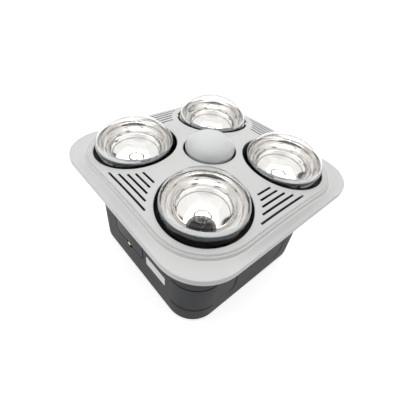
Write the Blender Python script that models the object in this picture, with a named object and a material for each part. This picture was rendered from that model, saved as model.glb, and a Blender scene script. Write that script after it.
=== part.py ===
"""Bathroom ceiling heater with four heat lamps, a centre light and an exhaust fan.

Metres, +Z towards the room. The heater stands on the back of its housing, with the
origin at the centre of that face. The wall with the terminal cover faces -Y, and the
duct leaves through the wall that faces +Y.
"""
import math

import bmesh
import bpy
from mathutils import Matrix, Vector

# Fascia
FASCIA_FLANGE = 0.011
FASCIA_CORNER_CUT = 0.013
FASCIA_WALL = 0.0025
CROWN_RISE = 0.01325
RIM_DROP = 0.025
RIM_HEIGHT = 0.009
RIM_EDGE = 0.0011
PANEL_BORDER = 0.0079
PANEL_CORNER_BORDER = 0.0119
GROOVE_INSET = 0.003
GROOVE_DEPTH = 0.0013
BEAD_DROP = 0.0002
OUTER_GROOVE_DEPTH = 0.0021
FLANGE_SHARES = ((0.30, 0.33), (0.62, 0.74), (0.86, 0.95))
PANEL_RING_SHARES = (0.70, 0.37)
SLOT_GAP = 0.0023
SLOT_INSETS = (0.0069, 0.0159, 0.0249, 0.0340, 0.0434)
SLOT_HALF_LENGTHS = (0.0473, 0.0346, 0.0252, 0.0185, 0.0142)
FOOT_OFFSET = 0.057
FOOT_RADIUS = 0.0032
FOOT_TIP_SHARE = 0.75

# Lamps and their openings
LAMP_RADIUS = 0.0625
LAMP_GAP = 0.0046
OPENING_WEB = 0.011008
LAMP_EQUATOR_DROP = 0.0096
LAMP_DOME = 0.0416
LAMP_LENGTH = 0.181
LAMP_NECK = 0.0180
LAMP_SHOULDER = 0.026
LAMP_CONE = math.radians(38)
LIGHT_RADIUS = 0.0398
LIGHT_GAP = 0.0023
LIGHT_EQUATOR_RISE = 0.0017
LIGHT_DOME = 0.0224
LIGHT_LENGTH = 0.114
LIGHT_NECK = 0.0145
LIGHT_SHOULDER = 0.014
LIGHT_CONE = math.radians(36)
GLASS = 0.0012

# Screw caps, stems and lampholders
CAP_RADIUS = 0.0132
CAP_WALL = 0.0007
CAP_LENGTH = 0.030
CAP_TAPER = 0.007
CAP_BUTTON = 0.0045
CAP_GRIP = 0.006
STEM_RADIUS = 0.0048
STEM_LENGTH = 0.058
STEM_FLARE = 0.006
HOLDER_RADIUS = 0.0205
HOLDER_COLLAR = 0.0222
HOLDER_COLLAR_HEIGHT = 0.012
HOLDER_LIP = 0.002
HOLDER_FLOOR = 0.015
HOLDER_BORE_GAP = 0.0010
HOLDER_REACH = 0.0015

# Housing
HOUSING_CORNER = 0.048
HOUSING_WALL = 0.0025
HOUSING_EDGE = 0.008
FLANGE_WIDTH = 0.013
FLANGE_THICKNESS = 0.003
CORNER_GROOVE_SHARES = (0.522, 0.197)
GROOVE_WIDTH = 0.0022
GROOVE_CUT = 0.0012
PANEL_GROOVES = ((-0.0485, 0.047, 0.011), (0.0770, 0.044, 0.017))
PANEL_GROOVE_DROP = 0.043
FIX_HOLE = 0.0025
FIX_OFFSET = 0.020
GUSSET_HALF = 0.010
GUSSET_REACH = 0.010
GUSSET_HEIGHT = 0.016

# Heat shield and light cup
SHIELD_DROP = 0.007
SHIELD_THICKNESS = 0.0012
SHIELD_GAP = 0.001
SHIELD_LAMP_GAP = 0.006
SHIELD_WEB = 0.0081
CUP_GAP = 0.0042
CUP_ROOM = 0.0127
CUP_FLANGE = 0.0060
CUP_FOOT = 0.0240
CUP_WALL = 0.0010

# Brackets below the lampholders
BRACKET_HEIGHT = 0.0496
BRACKET_HALF = 0.018
BRACKET_FOOT = 0.009
BRACKET_SHEET = 0.0015

# Terminal box, cover and screw
COVER_X = -0.0245
COVER_HALF_WIDTH = 0.0425
COVER_LOW = 0.057
COVER_DROP = 0.029
COVER_CORNER = 0.006
COVER_TAB = 0.0065
COVER_GAP = 0.0006
BOX_LIP = 0.0045
BOX_FLANGE = 0.0045
BOX_WALL = 0.0015
BOX_DEPTH = 0.030
BOSS_RADIUS = 0.0055
BOSS_LENGTH = 0.012
BLOCK_POLES = 5
BLOCK_PITCH = 0.010
BLOCK_SLOT = 0.0016
BLOCK_DEPTH = 0.014
BLOCK_BACK = 0.005
BLOCK_HEIGHT = 0.018
BLOCK_LOW = 0.030
CLAMP_HALF = 0.014
CLAMP_THICKNESS = 0.0025
CLAMP_FOOT = 0.007
CLAMP_RISE = 0.006
CLAMP_HEIGHT = 0.009

# Small screws, all of one pattern
SCREW_SHANK = 0.0017
SCREW_HEAD = 0.0036
SCREW_HEAD_HEIGHT = 0.0018
SCREW_LENGTH = 0.010

# Blower
FAN_X = -0.014
FAN_Y = -0.008
FAN_RADIUS = 0.046
FAN_RING = 0.010
FAN_LIFT = 0.0042
FAN_ROOM = 0.013
FAN_SHEET = 0.0015
FAN_HUB = 0.009
FAN_HUB_HEIGHT = 0.014
BLADE_COUNT = 24
BLADE_STEPS = 3
BLADE_THICKNESS = 0.0010
BLADE_SWEEP = math.radians(14)
BLADE_BOW = 0.0022
SCROLL_GAP = 0.004
SCROLL_SIDE_ROOM = 0.003
SCROLL_WALL = 0.002
SCROLL_LOW = 0.0358
SCROLL_INLET = 0.036
OUTLET_WIDTH = 0.054
BASE_SHEET = 0.0015
BASE_MARGIN = 0.004
EAR_RADIUS = 0.0075
EAR_ANGLES = (math.radians(118), math.radians(180), math.radians(270), math.radians(360))
MOTOR_RADIUS = 0.032
MOTOR_HEIGHT = 0.027
MOTOR_EDGE = 0.004
MOTOR_BOSS = 0.009
SHAFT_RADIUS = 0.003
SHAFT_DEPTH = 0.022
CAPACITOR_X = -0.026
CAPACITOR_ROOM = 0.0105
CAPACITOR_HALF = 0.019
CAPACITOR_DEPTH = 0.011
CAPACITOR_HEIGHT = 0.030
CAPACITOR_CORNER = 0.003

# Duct spigot and butterfly damper
SPIGOT_RADIUS = 0.050
SPIGOT_RISE = 0.0068
SPIGOT_WALL = 0.002
SPIGOT_LENGTH = 0.033
SPIGOT_FLANGE_WIDTH = 0.010
SPIGOT_FLANGE_THICKNESS = 0.0025
SPIGOT_BEAD = 0.0010
SPIGOT_BEAD_BACK = 0.006
SPIGOT_SCREWS = 4
DAMPER_OFFSET = 0.0095
DAMPER_PIN = 0.0015
DAMPER_SLEEVE = 0.0028
DAMPER_SHEET = 0.0012
DAMPER_SLEEVE_LOW = 0.004
DAMPER_SLEEVE_SHARE = 0.75
DAMPER_RUN = 0.0015

# Fascia clips
CLIP_X = 0.080
CLIP_HALF_WIDTH = 0.005
CLIP_SHEET = 0.0010
CLIP_HALF_TOP = 0.0075
CLIP_HALF_BARB = 0.0110
CLIP_BARB_RISE = 0.006
CLIP_REACH = 0.006
CLIP_BOSS = 0.0055
CLIP_BOSS_LENGTH = 0.008
CLIP_SLOT_GAP = 0.002

# Clearances, overrun and facets
GAP = 0.0003
BORE_GAP = 0.0004
OVERRUN = 0.004
WELD = 0.000001
CORNER_STEPS = 7
SIDE_STEPS = 3
OPENING_STEPS = 32
ROUND_STEPS = 20
SMALL_STEPS = 12
SCREW_STEPS = 8
ARC_STEPS = 6
EDGE_STEPS = 3
DOME_STEPS = 5
INNER_DOME_STEPS = 3
BOWL_STEPS = 3
SCROLL_STEPS = 22

# Places that follow from the sizes above
LAMP_OPENING = LAMP_RADIUS + LAMP_GAP
LIGHT_OPENING = LIGHT_RADIUS + LIGHT_GAP
LAMP_PITCH = (LAMP_OPENING + LIGHT_OPENING + OPENING_WEB) / math.sqrt(2)
LAMP_PLACES = tuple((sx * LAMP_PITCH, sy * LAMP_PITCH)
                    for sx, sy in ((1, -1), (-1, -1), (1, 1), (-1, 1)))
PANEL_HALF = LAMP_PITCH + LAMP_OPENING + PANEL_BORDER
PANEL_CORNER = LAMP_OPENING + PANEL_CORNER_BORDER
FASCIA_HALF = PANEL_HALF + 3 * GROOVE_INSET + FASCIA_FLANGE
FASCIA_CORNER = PANEL_CORNER - FASCIA_CORNER_CUT
CROWN_RADIUS = PANEL_HALF * PANEL_HALF / (2 * CROWN_RISE)
SLOT_DISTANCES = tuple(PANEL_HALF - inset for inset in SLOT_INSETS)
FLOOR_TOP = HOUSING_WALL + GAP
BRACKET_TOP = FLOOR_TOP + BRACKET_HEIGHT
HOLDER_SEAT = BRACKET_TOP + GAP
LAMP_TIP = HOLDER_SEAT + HOLDER_FLOOR + GAP
LAMP_EQUATOR = LAMP_TIP + LAMP_LENGTH - LAMP_DOME
CROWN_TOP = LAMP_EQUATOR + LAMP_EQUATOR_DROP
RIM_TOP = CROWN_TOP - RIM_DROP
CEILING_Z = RIM_TOP - RIM_HEIGHT
FLANGE_TOP = CEILING_Z + FLANGE_THICKNESS
SHIELD_Z = CEILING_Z - SHIELD_DROP
SHIELD_TOP = SHIELD_Z + SHIELD_THICKNESS
LIGHT_EQUATOR = CROWN_TOP + LIGHT_EQUATOR_RISE
LIGHT_TIP = LIGHT_EQUATOR + LIGHT_DOME - LIGHT_LENGTH
LIGHT_SEAT = LIGHT_TIP - GAP - HOLDER_FLOOR
CUP_RADIUS = LIGHT_RADIUS + CUP_GAP
CUP_FLOOR = LIGHT_SEAT - GAP - CUP_WALL
SCROLL_HIGH = CUP_FLOOR - CUP_ROOM
SCROLL_HEIGHT = SCROLL_HIGH - SCROLL_LOW
SCROLL_START = FAN_RADIUS + SCROLL_GAP
FAN_LOW = SCROLL_LOW + FAN_LIFT
FAN_HEIGHT = SCROLL_HEIGHT - FAN_ROOM
BASE_TOP = SCROLL_LOW - GAP
BASE_LOW = BASE_TOP - BASE_SHEET
MOTOR_TOP = BASE_LOW - GAP
OUTLET_RIGHT = LAMP_PITCH - BRACKET_HALF - BASE_MARGIN - SCROLL_WALL - SCROLL_SIDE_ROOM
OUTLET_LEFT = OUTLET_RIGHT - OUTLET_WIDTH
SCROLL_END = OUTLET_RIGHT - FAN_X
SPIGOT_X = OUTLET_RIGHT - OUTLET_WIDTH / 2
SPIGOT_BORE = SPIGOT_RADIUS - SPIGOT_WALL
SPIGOT_FLANGE = SPIGOT_RADIUS + SPIGOT_FLANGE_WIDTH
SPIGOT_Z = SPIGOT_FLANGE + SPIGOT_RISE
SPIGOT_SCREW_RING = (SPIGOT_RADIUS + SPIGOT_FLANGE) / 2
COVER_HIGH = SHIELD_Z - COVER_DROP
WALL_ANGLES = tuple(math.radians(angle) for angle in (0, 90, 180, 270))

# Turns of a prism: its outline's second axis upright, and its length along Y or X
FACING_BACK = Matrix(((1, 0, 0, 0), (0, 0, -1, 0), (0, 1, 0, 0), (0, 0, 0, 1)))
FACING_SIDE = Matrix(((0, 0, 1, 0), (1, 0, 0, 0), (0, 1, 0, 0), (0, 0, 0, 1)))


class LampShape:
    """Sizes of one bulb: its widest ring, dome, shoulder, cone, neck and cap."""

    def __init__(self, tip, equator, radius, dome, neck, shoulder, cone):
        self.tip = tip
        self.equator = equator
        self.radius = radius
        self.dome = dome
        self.neck = neck
        self.shoulder = shoulder
        self.cone = cone
        self.cap_top = tip + CAP_LENGTH
        self.cone_radius = radius - shoulder * (1 - math.cos(cone))
        self.cone_top = equator - shoulder * math.sin(cone)
        self.cone_low = self.cone_top - (self.cone_radius - neck) / math.tan(cone)

    def cone_radius_at(self, height):
        """Radius of the cone below the shoulder at a height."""
        return self.cone_radius - (self.cone_top - height) * math.tan(self.cone)


LAMP_SHAPE = LampShape(LAMP_TIP, LAMP_EQUATOR, LAMP_RADIUS, LAMP_DOME, LAMP_NECK,
                       LAMP_SHOULDER, LAMP_CONE)
LIGHT_SHAPE = LampShape(LIGHT_TIP, LIGHT_EQUATOR, LIGHT_RADIUS, LIGHT_DOME, LIGHT_NECK,
                        LIGHT_SHOULDER, LIGHT_CONE)

# The housing's walls stand clear of the heat shield's lamp openings
SHIELD_OPENING = LAMP_SHAPE.cone_radius_at(SHIELD_TOP) + SHIELD_LAMP_GAP
HOUSING_HALF = LAMP_PITCH + SHIELD_OPENING + SHIELD_WEB
INNER_HALF = HOUSING_HALF - HOUSING_WALL
FLANGE_HALF = HOUSING_HALF + FLANGE_WIDTH
FLANGE_CORNER = HOUSING_CORNER + FLANGE_WIDTH
SPIGOT_END = HOUSING_HALF + SPIGOT_LENGTH
DAMPER_Y = HOUSING_HALF + DAMPER_OFFSET
CAPACITOR_Y = -(INNER_HALF - CAPACITOR_DEPTH - CAPACITOR_ROOM)


def clear_scene():
    """Take every object out of the file."""
    for obj in list(bpy.data.objects):
        bpy.data.objects.remove(obj, do_unlink=True)


def finish(name, color, roughness, metallic=0.0):
    """Make one Principled material."""
    material = bpy.data.materials.new(name)
    material.use_nodes = True
    shader = material.node_tree.nodes["Principled BSDF"]
    shader.inputs["Base Color"].default_value = (*color, 1.0)
    shader.inputs["Roughness"].default_value = roughness
    shader.inputs["Metallic"].default_value = metallic
    return material


def make_object(name, bm, material=None, smooth=True):
    """Turn a bmesh into an object of the scene."""
    mesh = bpy.data.meshes.new(name)
    bm.to_mesh(mesh)
    bm.free()
    if smooth:
        mesh.shade_smooth()
        mesh.set_sharp_from_angle(angle=math.radians(35))
    obj = bpy.data.objects.new(name, mesh)
    bpy.context.scene.collection.objects.link(obj)
    if material is not None:
        mesh.materials.append(material)
    return obj


def as_guide(obj):
    """Mark an object as a cutter or a filler that is no piece of the heater."""
    obj.hide_render = True
    obj.display_type = "WIRE"
    return obj


def combine(obj, tool, operation):
    """Cut a tool out of an object, or weld it on."""
    step = obj.modifiers.new(tool.name, "BOOLEAN")
    step.operation = operation
    step.solver = "EXACT"
    step.object = as_guide(tool)


def arc(cx, cy, radius, start, end, steps):
    """Points on an arc, both ends included."""
    points = []
    for step in range(steps + 1):
        angle = start + (end - start) * step / steps
        points.append((cx + radius * math.cos(angle), cy + radius * math.sin(angle)))
    return points


def rounded_square(half, corner, corner_steps=CORNER_STEPS, side_steps=SIDE_STEPS):
    """Points round a square with arcs at its corners, evenly split on its sides."""
    points = []
    inner = half - corner
    for angle in WALL_ANGLES:
        rotation = Matrix.Rotation(angle, 2)
        corner_points = [rotation @ Vector(p) for p in
                         arc(inner, inner, corner, 0.0, math.radians(90), corner_steps)]
        points.extend(corner_points)
        start = corner_points[-1]
        end = rotation @ Vector((-inner, half))
        for step in range(1, side_steps):
            points.append(start.lerp(end, step / side_steps))
    return points


def add_loop(bm, points):
    """Put a closed ring of points in a bmesh and return its vertices."""
    return [bm.verts.new(point) for point in points]


def bridge(bm, lower, upper):
    """Join two rings of the same count with quads."""
    count = len(lower)
    for index in range(count):
        after = (index + 1) % count
        bm.faces.new((lower[index], lower[after], upper[after], upper[index]))


def loft(rings):
    """Close a body from rings that run from its first cap to its last cap."""
    bm = bmesh.new()
    loops = [add_loop(bm, ring) for ring in rings]
    for lower, upper in zip(loops, loops[1:]):
        bridge(bm, lower, upper)
    bm.faces.new(list(reversed(loops[0])))
    bm.faces.new(loops[-1])
    bmesh.ops.recalc_face_normals(bm, faces=bm.faces)
    return bm


def prism(bm, outline, low, high):
    """Extrude a flat outline from one height to another."""
    face = bm.faces.new([bm.verts.new((x, y, low)) for x, y in outline])
    grown = bmesh.ops.extrude_face_region(bm, geom=[face])
    moved = [item for item in grown["geom"] if isinstance(item, bmesh.types.BMVert)]
    bmesh.ops.translate(bm, verts=moved, vec=(0.0, 0.0, high - low))
    bmesh.ops.recalc_face_normals(bm, faces=bm.faces)
    return bm


def turned(profile, steps=ROUND_STEPS):
    """Revolve a closed profile of (radius, height) points round the Z axis."""
    bm = bmesh.new()
    verts = [bm.verts.new((radius, 0.0, height)) for radius, height in profile]
    edges = [bm.edges.new((verts[i], verts[(i + 1) % len(verts)])) for i in range(len(verts))
             if profile[i][0] > 0.0 or profile[(i + 1) % len(verts)][0] > 0.0]
    bmesh.ops.spin(bm, geom=verts + edges, cent=(0.0, 0.0, 0.0), axis=(0.0, 0.0, 1.0),
                   angle=math.tau, steps=steps, use_merge=True)
    bmesh.ops.remove_doubles(bm, verts=bm.verts, dist=WELD)
    bmesh.ops.dissolve_degenerate(bm, edges=bm.edges, dist=WELD)
    bmesh.ops.recalc_face_normals(bm, faces=bm.faces)
    return bm


def cylinder(bm, x, y, radius, low, high, steps=ROUND_STEPS, tip_share=1.0):
    """Add an upright cylinder or taper to a bmesh."""
    place = Matrix.Translation((x, y, (low + high) / 2))
    bmesh.ops.create_cone(bm, cap_ends=True, segments=steps, radius1=radius * tip_share,
                          radius2=radius, depth=high - low, matrix=place)
    return bm


def around(radius, steps):
    """Radius of a polygon whose flats just clear a circle."""
    return radius / math.cos(math.pi / steps)


def within(radius, steps):
    """Radius of a circle that just fits inside a polygon."""
    return radius * math.cos(math.pi / steps)


def block(bm, low, high):
    """Add a box between two corners to a bmesh."""
    middle = (Vector(low) + Vector(high)) / 2
    size = Vector(high) - Vector(low)
    place = Matrix.Translation(middle) @ Matrix.Diagonal((*size, 1.0))
    bmesh.ops.create_cube(bm, size=1.0, matrix=place)
    return bm


def turn(bm, matrix):
    """Move all the vertices of a bmesh by a matrix."""
    bmesh.ops.transform(bm, matrix=matrix, verts=bm.verts)
    return bm


def merge_into(bm, other):
    """Copy one bmesh into another and free it."""
    mesh = bpy.data.meshes.new("merge")
    other.to_mesh(mesh)
    other.free()
    bm.from_mesh(mesh)
    bpy.data.meshes.remove(mesh)


def crown(x, y):
    """Height of the fascia's domed top above a place."""
    return CROWN_TOP - (x * x + y * y) / (2 * CROWN_RADIUS)


def fascia_ring(half, corner, drop, share):
    """One ring of the fascia's top: on the dome, on the rim's plane or between."""
    points = []
    for x, y in rounded_square(half, corner):
        height = (crown(x, y) - drop) * (1 - share) + RIM_TOP * share
        points.append((x, y, height))
    return points


def fascia_rings():
    """Rings over the top of the fascia from its centre to its rim, and back below."""
    rings = []
    for share in reversed(PANEL_RING_SHARES):
        rings.append(fascia_ring(PANEL_HALF * share, PANEL_CORNER * share, 0.0, 0.0))
    rings.append(fascia_ring(PANEL_HALF, PANEL_CORNER, 0.0, 0.0))
    inset = PANEL_HALF
    corner = PANEL_CORNER
    for drop in (GROOVE_DEPTH, BEAD_DROP, OUTER_GROOVE_DEPTH):
        inset = inset + GROOVE_INSET
        corner = corner + GROOVE_INSET
        rings.append(fascia_ring(inset, corner, drop, 0.0))
    for width_share, plane_share in FLANGE_SHARES:
        half = inset + (FASCIA_HALF - inset) * width_share
        radius = corner + (FASCIA_CORNER - corner) * width_share
        rings.append(fascia_ring(half, radius, OUTER_GROOVE_DEPTH, plane_share))
    outer = rounded_square(FASCIA_HALF, FASCIA_CORNER)
    rings.append([(x, y, RIM_TOP - RIM_EDGE) for x, y in outer])
    rings.append([(x, y, CEILING_Z) for x, y in outer])
    inner = rounded_square(FASCIA_HALF - FASCIA_WALL, FASCIA_CORNER - FASCIA_WALL)
    rings.append([(x, y, CEILING_Z) for x, y in inner])
    rings.append([(x, y, RIM_TOP - RIM_EDGE - FASCIA_WALL) for x, y in inner])
    under_half = inset - GROOVE_INSET
    under_corner = corner - GROOVE_INSET
    under_drop = FASCIA_WALL + GROOVE_DEPTH
    rings.append(fascia_ring(under_half, under_corner, under_drop, 0.0))
    for share in PANEL_RING_SHARES:
        rings.append(fascia_ring(PANEL_HALF * share, PANEL_CORNER * share, FASCIA_WALL, 0.0))
    return rings


def fascia_cutter():
    """Openings for the lamps and the centre light, and the vent slots."""
    bm = bmesh.new()
    low = CEILING_Z
    high = CROWN_TOP + OVERRUN
    for x, y in LAMP_PLACES:
        cylinder(bm, x, y, LAMP_OPENING, low, high, OPENING_STEPS)
    cylinder(bm, 0.0, 0.0, LIGHT_OPENING, low, high, OPENING_STEPS)
    for angle in WALL_ANGLES:
        rotation = Matrix.Rotation(angle, 4, "Z")
        for distance, half in zip(SLOT_DISTANCES, SLOT_HALF_LENGTHS):
            slot = block(bmesh.new(), (distance - SLOT_GAP / 2, -half, low),
                         (distance + SLOT_GAP / 2, half, high))
            merge_into(bm, turn(slot, rotation))
    return make_object("fascia_cutter", bm)


def fascia_feet():
    """Feet under the fascia that stand on the housing's flange, and the clip bosses."""
    bm = bmesh.new()
    middle = (INNER_HALF + FLANGE_HALF) / 2
    for angle in WALL_ANGLES:
        for side in (-1, 1):
            place = Matrix.Rotation(angle, 2) @ Vector((middle, side * FOOT_OFFSET))
            top = crown(*place) - FASCIA_WALL / 2
            cylinder(bm, place.x, place.y, FOOT_RADIUS, FLANGE_TOP + GAP, top,
                     SMALL_STEPS, FOOT_TIP_SHARE)
    for side in (-1, 1):
        top = crown(CLIP_X, 0.0) - FASCIA_WALL / 2
        low = crown(CLIP_X, 0.0) - FASCIA_WALL - CLIP_BOSS_LENGTH
        cylinder(bm, side * CLIP_X, 0.0, CLIP_BOSS, low, top, SMALL_STEPS)
    return make_object("fascia_feet", bm)


def build_fascia(material):
    """The crowned panel with its border, openings, slots and feet."""
    fascia = make_object("fascia", loft(fascia_rings()), material)
    combine(fascia, fascia_feet(), "UNION")
    combine(fascia, fascia_cutter(), "DIFFERENCE")


def build_fascia_clips(material):
    """Spring clips that hang from the fascia's bosses into the heat shield."""
    top = crown(CLIP_X, 0.0) - FASCIA_WALL - CLIP_BOSS_LENGTH - GAP
    low = SHIELD_Z - CLIP_REACH
    barb = low + CLIP_BARB_RISE
    right = [(CLIP_HALF_TOP, top), (CLIP_HALF_BARB, barb), (CLIP_HALF_TOP, low)]
    inner = [(CLIP_HALF_TOP - CLIP_SHEET, low), (CLIP_HALF_BARB - 2 * CLIP_SHEET, barb),
             (CLIP_HALF_TOP - CLIP_SHEET, top - CLIP_SHEET)]
    outline = right + inner
    outline = outline + [(-y, z) for y, z in reversed(outline)]
    for name, side in (("fascia_clip_left", -1), ("fascia_clip_right", 1)):
        bm = prism(bmesh.new(), outline, -CLIP_HALF_WIDTH, CLIP_HALF_WIDTH)
        clip = make_object(name, turn(bm, FACING_SIDE), material, smooth=False)
        clip.location = (side * CLIP_X, 0.0, 0.0)


def housing_rings():
    """Rings up the outside of the tub, over its flange and down inside."""
    rings = []
    for share in (0, 1, 2):
        angle = math.radians(45 * share)
        shrink = HOUSING_EDGE * (1 - math.sin(angle))
        height = HOUSING_EDGE * (1 - math.cos(angle))
        rings.append([(x, y, height) for x, y in
                      rounded_square(HOUSING_HALF - shrink, HOUSING_CORNER - shrink,
                                     CORNER_STEPS, 1)])
    corner = HOUSING_CORNER - HOUSING_WALL
    levels = ((HOUSING_HALF, HOUSING_CORNER, CEILING_Z),
              (FLANGE_HALF, FLANGE_CORNER, CEILING_Z),
              (FLANGE_HALF, FLANGE_CORNER, FLANGE_TOP),
              (INNER_HALF, corner, FLANGE_TOP),
              (INNER_HALF, corner, HOUSING_EDGE),
              (INNER_HALF - HOUSING_EDGE + HOUSING_WALL, corner - HOUSING_EDGE + HOUSING_WALL,
               HOUSING_WALL))
    for half, radius, height in levels:
        rings.append([(x, y, height) for x, y in
                      rounded_square(half, radius, CORNER_STEPS, 1)])
    return rings


def scroll_start(grow):
    """Angle at which the spiral wall, grown by a wall, leaves the outlet's left side."""
    return math.acos((OUTLET_LEFT - grow - FAN_X) / (SCROLL_START + grow))


def scroll_radius(angle, grow):
    """Radius of the spiral wall at an angle from its start to a full turn."""
    start = scroll_start(grow)
    share = (angle - start) / (math.tau - start)
    return SCROLL_START + grow + (SCROLL_END - SCROLL_START) * share


def ear_place(angle):
    """Centre of one of the blower's fixing ears."""
    reach = scroll_radius(angle, SCROLL_WALL + BASE_MARGIN) + EAR_RADIUS / 2
    return FAN_X + reach * math.cos(angle), FAN_Y + reach * math.sin(angle)


def housing_additions():
    """Posts below the blower and ledges below the heat shield."""
    bm = bmesh.new()
    for angle in EAR_ANGLES:
        x, y = ear_place(angle)
        cylinder(bm, x, y, EAR_RADIUS, HOUSING_WALL / 2, BASE_LOW - GAP, SMALL_STEPS)
    for angle in WALL_ANGLES:
        outline = [(INNER_HALF + HOUSING_WALL / 2, SHIELD_Z - GAP),
                   (INNER_HALF - GUSSET_REACH, SHIELD_Z - GAP),
                   (INNER_HALF + HOUSING_WALL / 2, SHIELD_Z - GUSSET_HEIGHT)]
        ledge = prism(bmesh.new(), outline, -GUSSET_HALF, GUSSET_HALF)
        merge_into(bm, turn(ledge, Matrix.Rotation(angle, 4, "Z") @ FACING_BACK))
    return make_object("housing_additions", bm)


def cover_outline(grow):
    """Outline of the terminal cover in X and Z, with the tab round its screw."""
    half = COVER_HALF_WIDTH + grow
    low = COVER_LOW - grow
    high = COVER_HIGH + grow
    corner = COVER_CORNER + grow
    tab = COVER_TAB + grow
    points = arc(COVER_X, low, tab, math.radians(180), math.radians(360), SMALL_STEPS)
    centres = ((half - corner, low + corner, -90), (half - corner, high - corner, 0),
               (-half + corner, high - corner, 90), (-half + corner, low + corner, 180))
    for x, z, start in centres:
        points.extend(arc(COVER_X + x, z, corner, math.radians(start),
                          math.radians(start + 90), ARC_STEPS))
    return points


def facing_back(outline, near, far):
    """Extrude an outline of X and Z between two places on the Y axis."""
    return turn(prism(bmesh.new(), outline, -far, -near), FACING_BACK)


def panel_groove(offset, bend_height, radius):
    """Outline of a groove that runs down the side wall and bends to one side."""
    outer = arc(offset - radius, bend_height, radius + GROOVE_WIDTH / 2, 0.0,
                math.radians(-80), ARC_STEPS)
    inner = arc(offset - radius, bend_height, radius - GROOVE_WIDTH / 2, math.radians(-80),
                0.0, ARC_STEPS)
    high = CEILING_Z - PANEL_GROOVE_DROP
    top = [(offset - GROOVE_WIDTH / 2, high), (offset + GROOVE_WIDTH / 2, high)]
    return outer + inner + top


def housing_cutter():
    """Cover opening, duct hole, grooves and the holes of the flange."""
    bm = facing_back(cover_outline(COVER_GAP), -HOUSING_HALF - OVERRUN, -INNER_HALF + OVERRUN)
    hole = cylinder(bmesh.new(), 0.0, 0.0, SPIGOT_BORE - GAP, INNER_HALF - OVERRUN,
                    HOUSING_HALF + OVERRUN, ROUND_STEPS)
    for x, y in spigot_screw_places():
        cylinder(hole, x, y, SCREW_SHANK + GAP, INNER_HALF - OVERRUN, HOUSING_HALF + OVERRUN,
                 SCREW_STEPS)
    merge_into(bm, turn(hole, duct_axis()))
    inner = HOUSING_HALF - HOUSING_CORNER
    reach = HOUSING_CORNER + OVERRUN
    depth = HOUSING_CORNER - GROOVE_CUT
    for angle in WALL_ANGLES:
        rotation = Matrix.Rotation(angle, 4, "Z")
        for share in CORNER_GROOVE_SHARES:
            height = CEILING_Z * share
            outline = arc(inner, inner, reach, 0.0, math.radians(90), CORNER_STEPS)
            outline += arc(inner, inner, depth, math.radians(90), 0.0, CORNER_STEPS)
            groove = prism(bmesh.new(), outline, height - GROOVE_WIDTH / 2,
                           height + GROOVE_WIDTH / 2)
            merge_into(bm, turn(groove, rotation))
        holes = bmesh.new()
        middle = (INNER_HALF + FLANGE_HALF) / 2
        for side in (-1, 1):
            cylinder(holes, middle, side * FIX_OFFSET, FIX_HOLE, CEILING_Z - OVERRUN,
                     FLANGE_TOP + OVERRUN, SCREW_STEPS)
        merge_into(bm, turn(holes, rotation))
    for side in (0.0, math.radians(180)):
        for groove in PANEL_GROOVES:
            strip = prism(bmesh.new(), panel_groove(*groove), HOUSING_HALF - GROOVE_CUT,
                          HOUSING_HALF + OVERRUN)
            merge_into(bm, turn(strip, Matrix.Rotation(side, 4, "Z") @ FACING_SIDE))
    return make_object("housing_cutter", bm)


def blower_screw_cutter():
    """Pilot holes in the posts below the blower."""
    bm = bmesh.new()
    for angle in EAR_ANGLES:
        x, y = ear_place(angle)
        cylinder(bm, x, y, SCREW_SHANK + GAP, BASE_LOW - SCREW_LENGTH - OVERRUN,
                 BASE_LOW + OVERRUN, SCREW_STEPS)
    return make_object("blower_screw_cutter", bm)


def build_housing(material):
    """The dark tub that goes into the ceiling."""
    housing = make_object("housing", loft(housing_rings()), material)
    combine(housing, housing_additions(), "UNION")
    combine(housing, blower_screw_cutter(), "DIFFERENCE")
    combine(housing, housing_cutter(), "DIFFERENCE")


def build_heat_shield(material):
    """The dark plate under the fascia that the lamps pass through."""
    half = INNER_HALF - SHIELD_GAP
    corner = HOUSING_CORNER - HOUSING_WALL - SHIELD_GAP
    outline = [tuple(point) for point in rounded_square(half, corner, CORNER_STEPS, 1)]
    plate = prism(bmesh.new(), outline, SHIELD_Z, SHIELD_TOP)
    shield = make_object("heat_shield", plate, material, smooth=False)
    bm = bmesh.new()
    low = SHIELD_Z - OVERRUN
    high = SHIELD_TOP + OVERRUN
    for x, y in LAMP_PLACES:
        cylinder(bm, x, y, SHIELD_OPENING, low, high, ROUND_STEPS)
    cylinder(bm, 0.0, 0.0, CUP_RADIUS + GAP, low, high, ROUND_STEPS)
    half_x = CLIP_HALF_WIDTH + CLIP_SLOT_GAP
    half_y = CLIP_HALF_BARB + CLIP_SLOT_GAP
    for side in (-1, 1):
        block(bm, (side * CLIP_X - half_x, -half_y, low), (side * CLIP_X + half_x, half_y, high))
    combine(shield, make_object("heat_shield_cutter", bm), "DIFFERENCE")


def throat_radius():
    """Radius of a bulb's throat, which fits in its screw cap."""
    return within(CAP_RADIUS - CAP_WALL, SMALL_STEPS) - GAP


def bulb_outline(shape, inset, bowl_steps, dome_steps):
    """Points up a bulb from its throat to the top of its dome, drawn in by an inset."""
    throat = throat_radius() - inset
    neck = shape.neck - inset
    flare = shape.cap_top + shape.neck - throat_radius()
    points = [(throat, shape.cap_top - CAP_GRIP), (throat, shape.cap_top + GAP), (neck, flare),
              (neck, shape.cone_low)]
    centre = shape.radius - shape.shoulder
    for step in range(bowl_steps):
        angle = shape.cone * (1 - step / bowl_steps)
        points.append((centre + (shape.shoulder - inset) * math.cos(angle),
                       shape.equator - (shape.shoulder - inset) * math.sin(angle)))
    for step in range(dome_steps):
        angle = math.radians(90) * step / dome_steps
        points.append(((shape.radius - inset) * math.cos(angle),
                       shape.equator + (shape.dome - inset) * math.sin(angle)))
    points.append((0.0, shape.equator + shape.dome - inset))
    return points


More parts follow.
